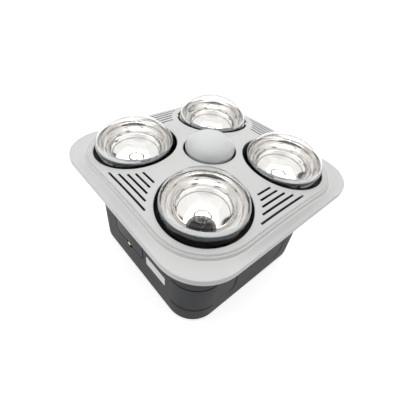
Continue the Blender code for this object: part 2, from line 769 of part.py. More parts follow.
def glass_profile(shape):
    """Closed profile of a hollow bulb, open at its throat."""
    outer = bulb_outline(shape, 0.0, BOWL_STEPS, DOME_STEPS)
    inner = bulb_outline(shape, GLASS, 1, INNER_DOME_STEPS)
    return outer + list(reversed(inner))


def cap_profile(shape):
    """Closed profile of a screw cap: a cup with a contact button below."""
    radius = CAP_RADIUS
    low = shape.tip
    wall = CAP_WALL
    return [(0.0, low), (CAP_BUTTON, low), (CAP_BUTTON, low + 2 * wall),
            (radius - 2 * wall, low + CAP_TAPER), (radius, low + CAP_TAPER + wall),
            (radius, shape.cap_top), (radius - wall, shape.cap_top),
            (radius - wall, low + CAP_TAPER + 2 * wall), (0.0, low + CAP_TAPER)]


def stem_profile(shape):
    """Closed profile of the glass stem that carries the filament."""
    low = shape.cap_top - CAP_GRIP
    flare = within(throat_radius() - GLASS, ROUND_STEPS) - GAP
    high = low + STEM_LENGTH
    return [(0.0, low), (flare, low), (STEM_RADIUS, low + STEM_FLARE),
            (STEM_RADIUS, high - STEM_RADIUS), (STEM_RADIUS / 2, high), (0.0, high)]


def holder_profile(shape, seat):
    """Closed profile of a porcelain lampholder that stands on its seat."""
    bore = CAP_RADIUS + HOLDER_BORE_GAP
    top = shape.cap_top - HOLDER_REACH
    floor = shape.tip - GAP
    return [(0.0, seat), (HOLDER_RADIUS - HOLDER_LIP, seat), (HOLDER_RADIUS, seat + HOLDER_LIP),
            (HOLDER_RADIUS, top - HOLDER_COLLAR_HEIGHT), (HOLDER_COLLAR, top - HOLDER_COLLAR_HEIGHT),
            (HOLDER_COLLAR, top - HOLDER_LIP), (HOLDER_COLLAR - HOLDER_LIP, top), (bore, top),
            (bore, floor), (0.0, floor)]


def place_turned(name, profile, material, x, y, steps=ROUND_STEPS):
    """Turn a piece round the upright axis through a place, which is its origin."""
    obj = make_object(name, turned(profile, steps), material)
    obj.location = (x, y, 0.0)
    return obj


def build_bracket(name, x, y, material):
    """A folded strap on the housing floor that carries a lampholder."""
    low = FLOOR_TOP
    sheet = BRACKET_SHEET
    half = BRACKET_HALF
    right = [(half, BRACKET_TOP), (half, low + sheet), (half + BRACKET_FOOT, low + sheet),
             (half + BRACKET_FOOT, low), (half - sheet, low), (half - sheet, BRACKET_TOP - sheet)]
    outline = right + [(-px, pz) for px, pz in reversed(right)]
    bm = facing_back(outline, -half, half)
    bracket = make_object(name, bm, material, smooth=False)
    bracket.location = (x, y, 0.0)


def build_lamps(glass, metal, porcelain, steel):
    """Four heat lamps with their lampholders and brackets."""
    holder = holder_profile(LAMP_SHAPE, HOLDER_SEAT)
    for index, (x, y) in enumerate(LAMP_PLACES, start=1):
        place_turned(f"lamp_glass_{index}", glass_profile(LAMP_SHAPE), glass, x, y)
        place_turned(f"lamp_cap_{index}", cap_profile(LAMP_SHAPE), metal, x, y, SMALL_STEPS)
        place_turned(f"lamp_stem_{index}", stem_profile(LAMP_SHAPE), glass, x, y, SMALL_STEPS)
        place_turned(f"lampholder_{index}", holder, porcelain, x, y, SMALL_STEPS)
        build_bracket(f"holder_bracket_{index}", x, y, steel)


def build_light(glass, metal, porcelain, steel):
    """The opal centre lamp, its lampholder and the cup that carries it."""
    place_turned("light_glass", glass_profile(LIGHT_SHAPE), glass, 0.0, 0.0)
    place_turned("light_cap", cap_profile(LIGHT_SHAPE), metal, 0.0, 0.0, SMALL_STEPS)
    place_turned("light_holder", holder_profile(LIGHT_SHAPE, LIGHT_SEAT), porcelain, 0.0, 0.0,
                 SMALL_STEPS)
    top = SHIELD_TOP + GAP
    wall = CUP_WALL
    floor = CUP_FLOOR
    profile = [(0.0, floor), (CUP_FOOT, floor), (CUP_RADIUS, SHIELD_Z - CUP_FLANGE),
               (CUP_RADIUS, top), (CUP_RADIUS + CUP_FLANGE, top),
               (CUP_RADIUS + CUP_FLANGE, top + wall), (CUP_RADIUS - wall, top + wall),
               (CUP_RADIUS - wall, SHIELD_Z - CUP_FLANGE), (CUP_FOOT - wall, floor + wall),
               (0.0, floor + wall)]
    place_turned("light_cup", profile, steel, 0.0, 0.0)


def scroll_outline(grow, end):
    """Outline of the volute and its outlet, grown by a wall, up to an end on Y."""
    left = OUTLET_LEFT - grow
    start = scroll_start(grow)
    points = []
    for step in range(SCROLL_STEPS + 1):
        angle = start + (math.tau - start) * step / SCROLL_STEPS
        radius = scroll_radius(angle, grow)
        points.append((FAN_X + radius * math.cos(angle), FAN_Y + radius * math.sin(angle)))
    points.append((OUTLET_RIGHT + grow, end))
    points.append((left, end))
    return points


def build_scroll(material):
    """The blower's housing: a spiral wall with an inlet above and an outlet to the duct."""
    end = INNER_HALF - GAP
    high = SCROLL_HIGH
    scroll = make_object("blower_scroll", prism(bmesh.new(), scroll_outline(SCROLL_WALL, end),
                                                SCROLL_LOW, high), material)
    inside = prism(bmesh.new(), scroll_outline(0.0, end + OVERRUN), SCROLL_LOW - OVERRUN,
                   high - SCROLL_WALL)
    combine(scroll, make_object("scroll_cutter", inside), "DIFFERENCE")
    inlet = cylinder(bmesh.new(), FAN_X, FAN_Y, SCROLL_INLET, high - 2 * SCROLL_WALL,
                     high + OVERRUN)
    combine(scroll, make_object("inlet_cutter", inlet), "DIFFERENCE")


def build_blower_base(material):
    """The steel plate below the scroll, with an ear at each fixing screw."""
    end = INNER_HALF - GAP
    plate = prism(bmesh.new(), scroll_outline(SCROLL_WALL + BASE_MARGIN, end), BASE_LOW, BASE_TOP)
    base = make_object("blower_base", plate, material, smooth=False)
    ears = bmesh.new()
    holes = bmesh.new()
    for angle in EAR_ANGLES:
        x, y = ear_place(angle)
        cylinder(ears, x, y, EAR_RADIUS, BASE_LOW, BASE_TOP, SMALL_STEPS)
        cylinder(holes, x, y, SCREW_SHANK + GAP, BASE_LOW - OVERRUN, BASE_TOP + OVERRUN,
                 SCREW_STEPS)
    cylinder(holes, FAN_X, FAN_Y, around(MOTOR_BOSS + GAP, SMALL_STEPS), BASE_LOW - OVERRUN,
             BASE_TOP + OVERRUN, SMALL_STEPS)
    combine(base, make_object("blower_ears", ears), "UNION")
    combine(base, make_object("blower_base_cutter", holes), "DIFFERENCE")


def build_motor(material, steel):
    """The motor below the base plate and the shaft that it turns."""
    low = MOTOR_TOP - MOTOR_HEIGHT
    bore = SHAFT_RADIUS + GAP
    shaft_low = MOTOR_TOP - SHAFT_DEPTH
    boss_top = BASE_TOP + GAP
    profile = [(0.0, low), (MOTOR_RADIUS - MOTOR_EDGE, low), (MOTOR_RADIUS, low + MOTOR_EDGE),
               (MOTOR_RADIUS, MOTOR_TOP - MOTOR_EDGE), (MOTOR_RADIUS - MOTOR_EDGE, MOTOR_TOP),
               (MOTOR_BOSS, MOTOR_TOP), (MOTOR_BOSS, boss_top), (bore, boss_top),
               (bore, shaft_low - GAP), (0.0, shaft_low - GAP)]
    place_turned("fan_motor", profile, material, FAN_X, FAN_Y)
    shaft_top = FAN_LOW + FAN_HUB_HEIGHT + SHAFT_RADIUS
    profile = [(0.0, shaft_low), (SHAFT_RADIUS, shaft_low), (SHAFT_RADIUS, shaft_top),
               (0.0, shaft_top)]
    place_turned("fan_shaft", profile, steel, FAN_X, FAN_Y, SMALL_STEPS)


def blade_outline():
    """One forward-curved blade between the inner and the outer edge of the ring."""
    inner = FAN_RADIUS - FAN_RING + BLADE_THICKNESS
    outer = FAN_RADIUS - BLADE_THICKNESS
    front = []
    back = []
    for step in range(BLADE_STEPS + 1):
        share = step / BLADE_STEPS
        radius = inner + (outer - inner) * share
        swing = BLADE_SWEEP * share + BLADE_BOW / radius * math.sin(math.pi * share)
        half = BLADE_THICKNESS / 2 / radius
        front.append((radius * math.cos(swing + half), radius * math.sin(swing + half)))
        back.append((radius * math.cos(swing - half), radius * math.sin(swing - half)))
    return back + list(reversed(front))


def build_impeller(material):
    """The drum wheel: a backplate with its hub, curved blades and a top ring."""
    bore = SHAFT_RADIUS + BORE_GAP / 2
    sheet = FAN_SHEET
    top = FAN_LOW + FAN_HEIGHT
    profile = [(bore, FAN_LOW), (FAN_RADIUS, FAN_LOW), (FAN_RADIUS, FAN_LOW + sheet),
               (FAN_HUB, FAN_LOW + sheet), (FAN_HUB, FAN_LOW + FAN_HUB_HEIGHT),
               (bore, FAN_LOW + FAN_HUB_HEIGHT)]
    wheel = place_turned("fan_impeller", profile, material, FAN_X, FAN_Y, BLADE_COUNT)
    blades = bmesh.new()
    for index in range(BLADE_COUNT):
        blade = prism(bmesh.new(), blade_outline(), FAN_LOW + sheet / 2, top - sheet / 2)
        merge_into(blades, turn(blade, Matrix.Rotation(math.tau * index / BLADE_COUNT, 4, "Z")))
    rim = [(FAN_RADIUS - FAN_RING, top - sheet), (FAN_RADIUS, top - sheet), (FAN_RADIUS, top),
           (FAN_RADIUS - FAN_RING, top)]
    for name, tool in (("impeller_blades", blades), ("impeller_ring", turned(rim, BLADE_COUNT))):
        filler = make_object(name, tool)
        filler.location = wheel.location
        combine(wheel, filler, "UNION")


def duct_axis():
    """Turn an upright piece to lie along the duct, which leaves towards +Y."""
    lay = Matrix.Rotation(math.radians(-90), 4, "X")
    return Matrix.Translation((SPIGOT_X, 0.0, SPIGOT_Z)) @ lay


def build_spigot(material):
    """The round collar that the duct slides over."""
    low = HOUSING_HALF + GAP
    high = SPIGOT_END
    bead = high - SPIGOT_BEAD_BACK
    outer = SPIGOT_RADIUS
    flange_top = low + SPIGOT_FLANGE_THICKNESS
    profile = [(SPIGOT_BORE, low), (SPIGOT_FLANGE, low), (SPIGOT_FLANGE, flange_top),
               (outer, flange_top), (outer, bead - 2 * SPIGOT_BEAD),
               (outer + SPIGOT_BEAD, bead), (outer, bead + 2 * SPIGOT_BEAD), (outer, high),
               (SPIGOT_BORE, high)]
    spigot = make_object("duct_spigot", turn(turned(profile, OPENING_STEPS), duct_axis()), material)
    holes = bmesh.new()
    for x, y in spigot_screw_places():
        cylinder(holes, x, y, SCREW_SHANK + GAP, low - OVERRUN, flange_top + OVERRUN,
                 SCREW_STEPS)
    combine(spigot, make_object("spigot_cutter", turn(holes, duct_axis())), "DIFFERENCE")


def spigot_screw_places():
    """Places of the spigot's screws round the duct's axis."""
    places = []
    for index in range(SPIGOT_SCREWS):
        angle = math.tau * (index + 0.5) / SPIGOT_SCREWS
        places.append((SPIGOT_SCREW_RING * math.cos(angle), SPIGOT_SCREW_RING * math.sin(angle)))
    return places


def cover_screw_axis():
    """Lay an upright piece along the axis of the cover's screw, which points to -Y."""
    lay = Matrix.Rotation(math.radians(90), 4, "X")
    return Matrix.Translation((COVER_X, 0.0, COVER_LOW)) @ lay


def screw_profile(seat):
    """Closed profile of a pan-head screw whose head sits on a seat."""
    return [(0.0, seat - SCREW_LENGTH), (SCREW_SHANK, seat - SCREW_LENGTH),
            (SCREW_SHANK, seat + GAP), (SCREW_HEAD, seat + GAP),
            (SCREW_HEAD, seat + SCREW_HEAD_HEIGHT / 2),
            (SCREW_HEAD / 2, seat + SCREW_HEAD_HEIGHT), (0.0, seat + SCREW_HEAD_HEIGHT)]


def build_screws(steel, brass):
    """The screws of the blower, the spigot and the terminal cover."""
    for index, angle in enumerate(EAR_ANGLES, start=1):
        x, y = ear_place(angle)
        place_turned(f"blower_screw_{index}", screw_profile(BASE_TOP), steel, x, y, SCREW_STEPS)
    seat = HOUSING_HALF + GAP + SPIGOT_FLANGE_THICKNESS
    for index, (x, y) in enumerate(spigot_screw_places(), start=1):
        bm = turned(screw_profile(seat), SCREW_STEPS)
        turn(bm, duct_axis() @ Matrix.Translation((x, y, 0.0)))
        make_object(f"spigot_screw_{index}", bm, steel)
    bm = turned(screw_profile(HOUSING_HALF), SCREW_STEPS)
    make_object("cover_screw", turn(bm, cover_screw_axis()), brass)


def build_damper(material, steel):
    """A pin across the spigot and the two half-round flaps that turn on it."""
    reach = SPIGOT_BORE - GAP
    pin = cylinder(bmesh.new(), 0.0, 0.0, DAMPER_PIN, SPIGOT_Z - reach, SPIGOT_Z + reach,
                   SMALL_STEPS)
    make_object("damper_pin", pin, steel).location = (SPIGOT_X, DAMPER_Y, 0.0)
    radius = SPIGOT_BORE - DAMPER_RUN
    clear = DAMPER_SLEEVE + GAP
    limit = math.acos(clear / radius)
    sleeve_high = SPIGOT_BORE * DAMPER_SLEEVE_SHARE
    for name, side in (("damper_flap_left", -1), ("damper_flap_right", 1)):
        low = DAMPER_SLEEVE_LOW if side < 0 else -sleeve_high
        high = sleeve_high if side < 0 else -DAMPER_SLEEVE_LOW
        joint = (DAMPER_PIN + BORE_GAP + DAMPER_SLEEVE) / 2
        outline = arc(0.0, 0.0, radius, -limit, limit, 2 * ARC_STEPS)
        outline += [(clear, high), (joint, high), (joint, low), (clear, low)]
        outline = [(side * u, SPIGOT_Z + w) for u, w in outline]
        plate = facing_back(outline, -DAMPER_SHEET / 2, DAMPER_SHEET / 2)
        flap = make_object(name, plate, material, smooth=False)
        flap.location = (SPIGOT_X, DAMPER_Y, 0.0)
        bore = DAMPER_PIN + BORE_GAP
        profile = [(bore, SPIGOT_Z + low), (DAMPER_SLEEVE, SPIGOT_Z + low),
                   (DAMPER_SLEEVE, SPIGOT_Z + high), (bore, SPIGOT_Z + high)]
        sleeve = make_object(name + "_sleeve", turned(profile, SMALL_STEPS))
        sleeve.location = flap.location
        combine(flap, sleeve, "UNION")


def build_terminal_box(material):
    """The tray behind the cover, with the boss for the cover's screw."""
    near = INNER_HALF - GAP
    half = COVER_HALF_WIDTH - BOX_LIP
    low = COVER_LOW + BOX_LIP
    high = COVER_HIGH - BOX_LIP
    wide = COVER_HALF_WIDTH + BOX_FLANGE
    bm = bmesh.new()
    block(bm, (COVER_X - wide, -near, COVER_LOW - COVER_TAB - BOX_FLANGE),
          (COVER_X + wide, -near + BOX_WALL, COVER_HIGH + BOX_FLANGE))
    box = make_object("terminal_box", bm, material, smooth=False)
    body = bmesh.new()
    block(body, (COVER_X - half - BOX_WALL, -near + BOX_WALL / 2, low - BOX_WALL),
          (COVER_X + half + BOX_WALL, -near + BOX_DEPTH, high + BOX_WALL))
    combine(box, make_object("terminal_box_body", body), "UNION")
    boss = cylinder(bmesh.new(), 0.0, 0.0, BOSS_RADIUS, near - BOSS_LENGTH, near - BOX_WALL / 2,
                    SMALL_STEPS)
    combine(box, make_object("terminal_box_boss", turn(boss, cover_screw_axis())), "UNION")
    cut = bmesh.new()
    block(cut, (COVER_X - half, -near - OVERRUN, low),
          (COVER_X + half, -near + BOX_DEPTH - BOX_WALL, high))
    combine(box, make_object("terminal_box_cutter", cut), "DIFFERENCE")
    bore = cylinder(bmesh.new(), 0.0, 0.0, SCREW_SHANK + GAP, near - BOSS_LENGTH - OVERRUN,
                    near + OVERRUN, SCREW_STEPS)
    combine(box, make_object("terminal_box_bore", turn(bore, cover_screw_axis())), "DIFFERENCE")


def build_terminal_cover(material):
    """The flush cover with the round tab that its screw goes through."""
    plate = facing_back(cover_outline(0.0), -HOUSING_HALF, -INNER_HALF)
    cover = make_object("terminal_cover", plate, material, smooth=False)
    hole = cylinder(bmesh.new(), 0.0, 0.0, SCREW_SHANK + GAP, INNER_HALF - OVERRUN,
                    HOUSING_HALF + OVERRUN, SCREW_STEPS)
    cutter = make_object("terminal_cover_cutter", turn(hole, cover_screw_axis()))
    combine(cover, cutter, "DIFFERENCE")


def build_terminal_block(material):
    """A strip of screw terminals on the back of the terminal box."""
    back = -INNER_HALF + GAP + BOX_DEPTH - BOX_WALL - GAP
    points = []
    width = BLOCK_POLES * BLOCK_PITCH
    for pole in range(BLOCK_POLES):
        left = COVER_X - width / 2 + pole * BLOCK_PITCH
        right = left + BLOCK_PITCH
        if pole > 0:
            points.append((left + BLOCK_SLOT / 2, back - BLOCK_BACK))
        points.append((left + BLOCK_SLOT / 2, back - BLOCK_DEPTH))
        points.append((right - BLOCK_SLOT / 2, back - BLOCK_DEPTH))
        if pole < BLOCK_POLES - 1:
            points.append((right - BLOCK_SLOT / 2, back - BLOCK_BACK))
    points.append((points[-1][0], back))
    points.append((points[0][0], back))
    low = COVER_LOW + BLOCK_LOW
    bm = prism(bmesh.new(), points, low, low + BLOCK_HEIGHT)
    make_object("terminal_block", bm, material, smooth=False)


def build_cord_clamp(material):
    """A saddle that grips the supply cable on the back of the terminal box."""
    back = -INNER_HALF + GAP + BOX_DEPTH - BOX_WALL - GAP
    inner = CLAMP_HALF - CLAMP_FOOT
    sheet = CLAMP_THICKNESS
    outline = [(COVER_X - CLAMP_HALF, back), (COVER_X - CLAMP_HALF, back - sheet),
               (COVER_X - inner - sheet, back - sheet), (COVER_X - inner, back - CLAMP_RISE - sheet),
               (COVER_X + inner, back - CLAMP_RISE - sheet), (COVER_X + inner + sheet, back - sheet),
               (COVER_X + CLAMP_HALF, back - sheet), (COVER_X + CLAMP_HALF, back),
               (COVER_X + inner, back), (COVER_X + inner - sheet, back - CLAMP_RISE),
               (COVER_X - inner + sheet, back - CLAMP_RISE), (COVER_X - inner, back)]
    low = COVER_LOW + 2 * BOX_LIP
    bm = prism(bmesh.new(), outline, low, low + CLAMP_HEIGHT)
    make_object("cord_clamp", bm, material, smooth=False)


def build_capacitor(material):
    """The motor's run capacitor, standing on the housing floor."""
    low = FLOOR_TOP
    outline = []
    corner = CAPACITOR_CORNER
    for sx, sy, start in ((1, 1, 0), (-1, 1, 90), (-1, -1, 180), (1, -1, 270)):
        outline += arc(CAPACITOR_X + sx * (CAPACITOR_HALF - corner),
                       CAPACITOR_Y + sy * (CAPACITOR_DEPTH - corner), corner,
                       math.radians(start), math.radians(start + 90), EDGE_STEPS)
    bm = prism(bmesh.new(), outline, low, low + CAPACITOR_HEIGHT)
    make_object("fan_capacitor", bm, material, smooth=False)


def main():
    """Build every piece of the heater."""
    clear_scene()
    pale = finish("satin_abs", (0.74, 0.74, 0.74), 0.4)
    dark = finish("charcoal_plastic", (0.09, 0.09, 0.095), 0.6)
    black = finish("black_enamel", (0.02, 0.02, 0.02), 0.5)
    clear = finish("lamp_glass", (0.9, 0.9, 0.9), 0.05)
    opal = finish("opal_glass", (0.85, 0.85, 0.83), 0.3)
    cap = finish("nickel_cap", (0.7, 0.69, 0.66), 0.3, 1.0)
    porcelain = finish("porcelain", (0.8, 0.79, 0.75), 0.3)
    steel = finish("zinc_steel", (0.6, 0.6, 0.6), 0.4, 1.0)
    brass = finish("brass", (0.75, 0.57, 0.25), 0.3, 1.0)
    fan = finish("fan_plastic", (0.12, 0.12, 0.12), 0.5)
    block_finish = finish("terminal_plastic", (0.8, 0.8, 0.76), 0.5)
    build_fascia(pale)
    build_fascia_clips(steel)
    build_housing(dark)
    build_heat_shield(black)
    build_lamps(clear, cap, porcelain, steel)
    build_light(opal, cap, porcelain, black)
    build_blower_base(steel)
    build_scroll(fan)
    build_impeller(fan)
    build_motor(black, steel)
    build_capacitor(block_finish)
    build_spigot(dark)
    build_damper(fan, steel)
    build_terminal_box(dark)
    build_terminal_cover(dark)
    build_terminal_block(block_finish)
    build_cord_clamp(block_finish)
    build_screws(steel, brass)


main()
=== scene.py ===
"""Looks of a bathroom ceiling heater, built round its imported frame.

Metres, +Z towards the room, with the origin at the centre of the housing's back.
"""

import logging
import math
from dataclasses import dataclass
from enum import Enum
from functools import cache
from typing import Callable, Sequence

import bmesh
import bpy
from bpy.types import Material, Node, NodeSocket, NodeTree, Object
from mathutils import Matrix, Vector
from mathutils.geometry import delaunay_2d_cdt
from mathutils.kdtree import KDTree

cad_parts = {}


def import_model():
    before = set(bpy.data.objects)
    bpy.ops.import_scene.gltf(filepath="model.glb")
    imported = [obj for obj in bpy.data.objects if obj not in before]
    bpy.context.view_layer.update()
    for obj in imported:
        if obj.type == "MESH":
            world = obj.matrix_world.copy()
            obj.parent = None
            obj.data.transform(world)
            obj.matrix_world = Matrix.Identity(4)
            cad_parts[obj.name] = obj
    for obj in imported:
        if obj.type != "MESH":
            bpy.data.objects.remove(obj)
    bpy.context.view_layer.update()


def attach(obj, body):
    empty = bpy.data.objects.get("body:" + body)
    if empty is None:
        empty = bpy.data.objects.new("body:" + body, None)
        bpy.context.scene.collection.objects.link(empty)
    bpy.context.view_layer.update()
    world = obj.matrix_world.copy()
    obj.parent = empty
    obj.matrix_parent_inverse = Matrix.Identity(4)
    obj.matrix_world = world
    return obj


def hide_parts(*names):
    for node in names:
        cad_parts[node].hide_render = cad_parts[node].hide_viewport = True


LOG = logging.getLogger("heater")
MM = 0.001
BMesh = bmesh.types.BMesh
Point = tuple[float, float]
Triple = tuple[float, float, float]
Profile = list[Point]
QUARTER = math.pi / 2
CROSS = ((1, 1), (-1, 1), (-1, -1), (1, -1))
WALL_ANGLES = tuple(QUARTER * side for side in range(4))
SHARP = 32.0

# Turns of a prism: its outline's second axis upright, and its length along Y or X
FACING_BACK = Matrix(((1, 0, 0, 0), (0, 0, -1, 0), (0, 1, 0, 0), (0, 0, 0, 1)))
FACING_SIDE = Matrix(((0, 0, 1, 0), (1, 0, 0, 0), (0, 1, 0, 0), (0, 0, 0, 1)))


class Body(str, Enum):
    """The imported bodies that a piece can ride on."""

    ROOT = "root"
    FASCIA = "fascia"
    FAN = "fan"
    LIGHT = "centre_light"
    DAMPER_LEFT = "damper_left"
    DAMPER_RIGHT = "damper_right"


# ---------------------------------------------------------------- node helpers

def linear(code: str) -> tuple[float, float, float, float]:
    """Turns an sRGB hex colour into Blender's linear one, with its alpha.

    Args:
        code: six hex digits.

    Returns:
        Red, green, blue and alpha.
    """
    parts = [int(code[i:i + 2], 16) / 255 for i in (0, 2, 4)]
    red, green, blue = (c / 12.92 if c <= 0.04045 else ((c + 0.055) / 1.055) ** 2.4 for c in parts)
    return red, green, blue, 1.0


def feed(tree: NodeTree, node: Node, inputs: dict) -> None:
    """Gives each input of a node, by name or number, a socket to link or a value.

    Args:
        tree: the tree that holds the node.
        node: the node to set.
        inputs: the sockets and values by name or number.
    """
    for name, value in inputs.items():
        if isinstance(value, NodeSocket):
            tree.links.new(value, node.inputs[name])
        else:
            node.inputs[name].default_value = value


def add_node(tree: NodeTree, kind: str, settings: dict | None = None,
             inputs: dict | None = None) -> Node:
    """Adds a node with its settings, and with a value or a link for each named input.

    Args:
        tree: the tree that gets the node.
        kind: the node's type.
        settings: the node's own properties by name.
        inputs: for each input, by name or number, a socket to link or a value.

    Returns:
        The new node.
    """
    node = tree.nodes.new(kind)
    for name, value in (settings or {}).items():
        setattr(node, name, value)
    feed(tree, node, inputs or {})
    return node


def new_material(name: str) -> tuple[Material, NodeTree, Node]:
    """Makes a material with nothing but its Principled shader and its output.

    Args:
        name: the material's name.

    Returns:
        The material, its tree and its shader.
    """
    material = bpy.data.materials.new(name)
    material.use_nodes = True
    return material, material.node_tree, material.node_tree.nodes["Principled BSDF"]


# -------------------------------------------------------------------- finishes

@dataclass(frozen=True)
class Finish:
    """A finish with two shades that drift into each other, uneven gloss and a fine grain.

    The sizes are real ones in millimetres, and a grain that is too fine to show in the
    render is drawn coarser.
    """

    name: str
    shade: str
    other_shade: str
    roughness: float
    metallic: float = 0.0
    ior: float = 1.5
    drift_mm: float = 30.0
    grain_mm: float = 0.8
    grain_height_mm: float = 0.02
    gloss_spread: float = 0.06
    stretch: Triple = (1.0, 1.0, 1.0)
    coat: float = 0.0
    subsurface: float = 0.0
    depth_mm: float = 2.0

    @cache
    def make(self) -> Material:
        """Builds the material, once for all the pieces that share it.

        Returns:
            The material.
        """
        material, tree, shader = new_material(self.name)
        place = add_node(tree, "ShaderNodeTexCoord")
        mapping = add_node(tree, "ShaderNodeMapping", inputs={
            "Vector": place.outputs["Object"], "Scale": self.stretch})
        drift = add_node(tree, "ShaderNodeTexNoise", inputs={
            "Vector": mapping.outputs[0], "Scale": 1 / (self.drift_mm * MM), "Detail": 3.0})
        colour = add_node(tree, "ShaderNodeMix", {"data_type": "RGBA"}, {
            0: drift.outputs[0], 6: linear(self.shade), 7: linear(self.other_shade)})
        grain = add_node(tree, "ShaderNodeTexNoise", inputs={
            "Vector": mapping.outputs[0], "Scale": 1 / (self.grain_mm * MM), "Detail": 2.0})
        gloss = add_node(tree, "ShaderNodeMapRange", inputs={
            0: drift.outputs[0], 3: self.roughness - self.gloss_spread,
            4: self.roughness + self.gloss_spread})
        bump = add_node(tree, "ShaderNodeBump", inputs={
            "Height": grain.outputs[0], "Distance": self.grain_height_mm * MM})
        feed(tree, shader, {
            "Base Color": colour.outputs[2], "Roughness": gloss.outputs[0],
            "Normal": bump.outputs[0], "Metallic": self.metallic, "Coat Weight": self.coat})
        if not self.metallic:
            feed(tree, shader, {"IOR": self.ior})
        if self.subsurface:
            feed(tree, shader, {
                "Subsurface Weight": self.subsurface, "Subsurface Scale": self.depth_mm * MM,
                "Subsurface Radius": (1.0, 0.95, 0.9)})
        return material


@dataclass(frozen=True)
class BlownGlass:
    """Hard glass blown in a mould: clear, with faint waves that bend what is behind it."""

    name: str = "hard_glass"
    tint: str = "F7F7F6"
    ior: float = 1.47
    wave_mm: float = 22.0
    wave_height_mm: float = 0.10
    gloss_spread: float = 0.03

    @cache
    def make(self) -> Material:
        """Builds the material, once for all the pieces that share it.

        Returns:
            The material.
        """
        material, tree, shader = new_material(self.name)
        place = add_node(tree, "ShaderNodeTexCoord")
        waves = add_node(tree, "ShaderNodeTexNoise", inputs={
            "Vector": place.outputs["Object"], "Scale": 1 / (self.wave_mm * MM), "Detail": 1.0})
        bump = add_node(tree, "ShaderNodeBump", inputs={
            "Height": waves.outputs[0], "Distance": self.wave_height_mm * MM})
        gloss = add_node(tree, "ShaderNodeMapRange", inputs={
            0: waves.outputs[0], 3: 0.0, 4: self.gloss_spread})
        feed(tree, shader, {
            "Normal": bump.outputs[0], "Roughness": gloss.outputs[0],
            "Base Color": linear(self.tint), "IOR": self.ior, "Transmission Weight": 1.0})
        return material


# Injection-moulded ABS, pale grey, satin: the mould's fine spark grain softens its shine
SATIN_ABS = Finish("satin_abs", "E2E2E1", "DCDCDB", 0.38, ior=1.53, drift_mm=60,
                   grain_mm=0.9, grain_height_mm=0.012)
# Injection-moulded flame-resistant polypropylene, charcoal, with faint flow marks
CHARCOAL_TUB = Finish("charcoal_polypropylene", "434446", "3D3E40", 0.58, ior=1.28, drift_mm=45,
                      grain_mm=1.1, grain_height_mm=0.03)
# The cover is the same plastic from another mould, a touch darker
CHARCOAL_COVER = Finish("charcoal_cover", "404143", "3A3B3D", 0.53, ior=1.28, drift_mm=35,
                        grain_mm=1.1, grain_height_mm=0.03)
# Sheet steel under black stoved enamel, deep, with a little orange peel; its near-black is also
# painted shade for the dark gaps round the lamps and the globe
BLACK_ENAMEL_AND_SHADE = Finish("black_enamel", "17181A", "101113", 0.42, drift_mm=20, grain_mm=1.6,
                      grain_height_mm=0.04, coat=0.1)
# Motor enamel over pressed steel: grey black and duller than the shield's
MOTOR_ENAMEL = Finish("motor_enamel", "26282A", "1D1F21", 0.55, drift_mm=14, grain_mm=1.2,
                      grain_height_mm=0.04)
# Aluminium evaporated on the inside of the glass: a near perfect mirror with faint streaks
SILVER_COAT = Finish("evaporated_aluminium", "F8F6F4", "EEECEA", 0.05, metallic=1.0,
                     drift_mm=18, grain_mm=3.2, grain_height_mm=0.05, gloss_spread=0.03,
                     stretch=(0.15, 0.15, 1.0))
# The same coat from its outside, lacquered against scratches: a soft light grey shine
SILVER_BACK = Finish("lacquered_aluminium", "C2C5C8", "B4B8BB", 0.09, metallic=1.0,
                     drift_mm=18, grain_mm=5.0, gloss_spread=0.08)
# Near-black colour on the coat's outside from its low end to just above the widest ring: painted
# shade for the dark lower bowl, dull and a little uneven
PAINTED_SHADE_COAT = Finish("black_heat_paint", "1A1B1D", "121315", 0.5, drift_mm=12, grain_mm=1.5)
# Opal glass, acid-etched outside: milky, with light that sinks in and a soft shine
OPAL_GLASS = Finish("opal_glass", "EBEDEC", "E6E8E7", 0.22, drift_mm=25, grain_mm=2.5,
                    grain_height_mm=0.01, subsurface=0.25)
# Nickel-plated brass: a warm grey shine, a little dulled by heat
NICKEL_PLATE = Finish("nickel_plated_brass", "C9C4BA", "B7B2A8", 0.28, metallic=1.0,
                      drift_mm=6, grain_mm=0.7, grain_height_mm=0.01)
# Glazed electrical porcelain: off-white and glossy, with a faint cream drift
PORCELAIN = Finish("glazed_porcelain", "EAE6DC", "DFDACE", 0.2, ior=1.54, drift_mm=12,
                   grain_mm=2.0, grain_height_mm=0.01, coat=0.4)
# Zinc-plated mild steel, rolled: the plate's streaks follow its length
ZINC_STEEL = Finish("zinc_plated_steel", "B9BCBE", "A4A7AA", 0.36, metallic=1.0, drift_mm=7,
                    grain_height_mm=0.012, stretch=(1.0, 0.2, 1.0))
# Turned brass screw: yellow, with fine turning marks
BRASS = Finish("turned_brass", "EBDFB4", "DDCB94", 0.3, metallic=1.0, drift_mm=2,
               grain_mm=0.4, grain_height_mm=0.01)
# Glass-filled nylon of the fan: near black, with the dull speckle of its fibres
FAN_NYLON = Finish("glass_filled_nylon", "2B2D2F", "212325", 0.55, drift_mm=9,
                   grain_height_mm=0.03)
# White nylon of the terminals: slightly waxy
TERMINAL_NYLON = Finish("terminal_nylon", "DDDBD2", "D2D0C6", 0.45, drift_mm=8, grain_mm=0.9,
                        grain_height_mm=0.012, subsurface=0.1)
# Matt paper label: fibres show as a faint cloudiness
LABEL_PAPER = Finish("label_paper", "FCFCFB", "F6F6F5", 0.35, drift_mm=2.5, grain_mm=0.5,
                     grain_height_mm=0.01)
# Tungsten and molybdenum wire: dark grey metal, drawn
TUNGSTEN = Finish("tungsten_wire", "77757A", "66646A", 0.35, metallic=1.0, drift_mm=1.0,
                  grain_mm=0.3, grain_height_mm=0.005)
# Clear hard glass of the heat lamps, blown in a mould: its waves are faint
HARD_GLASS = BlownGlass()


# ---------------------------------------------------------------- mesh helpers

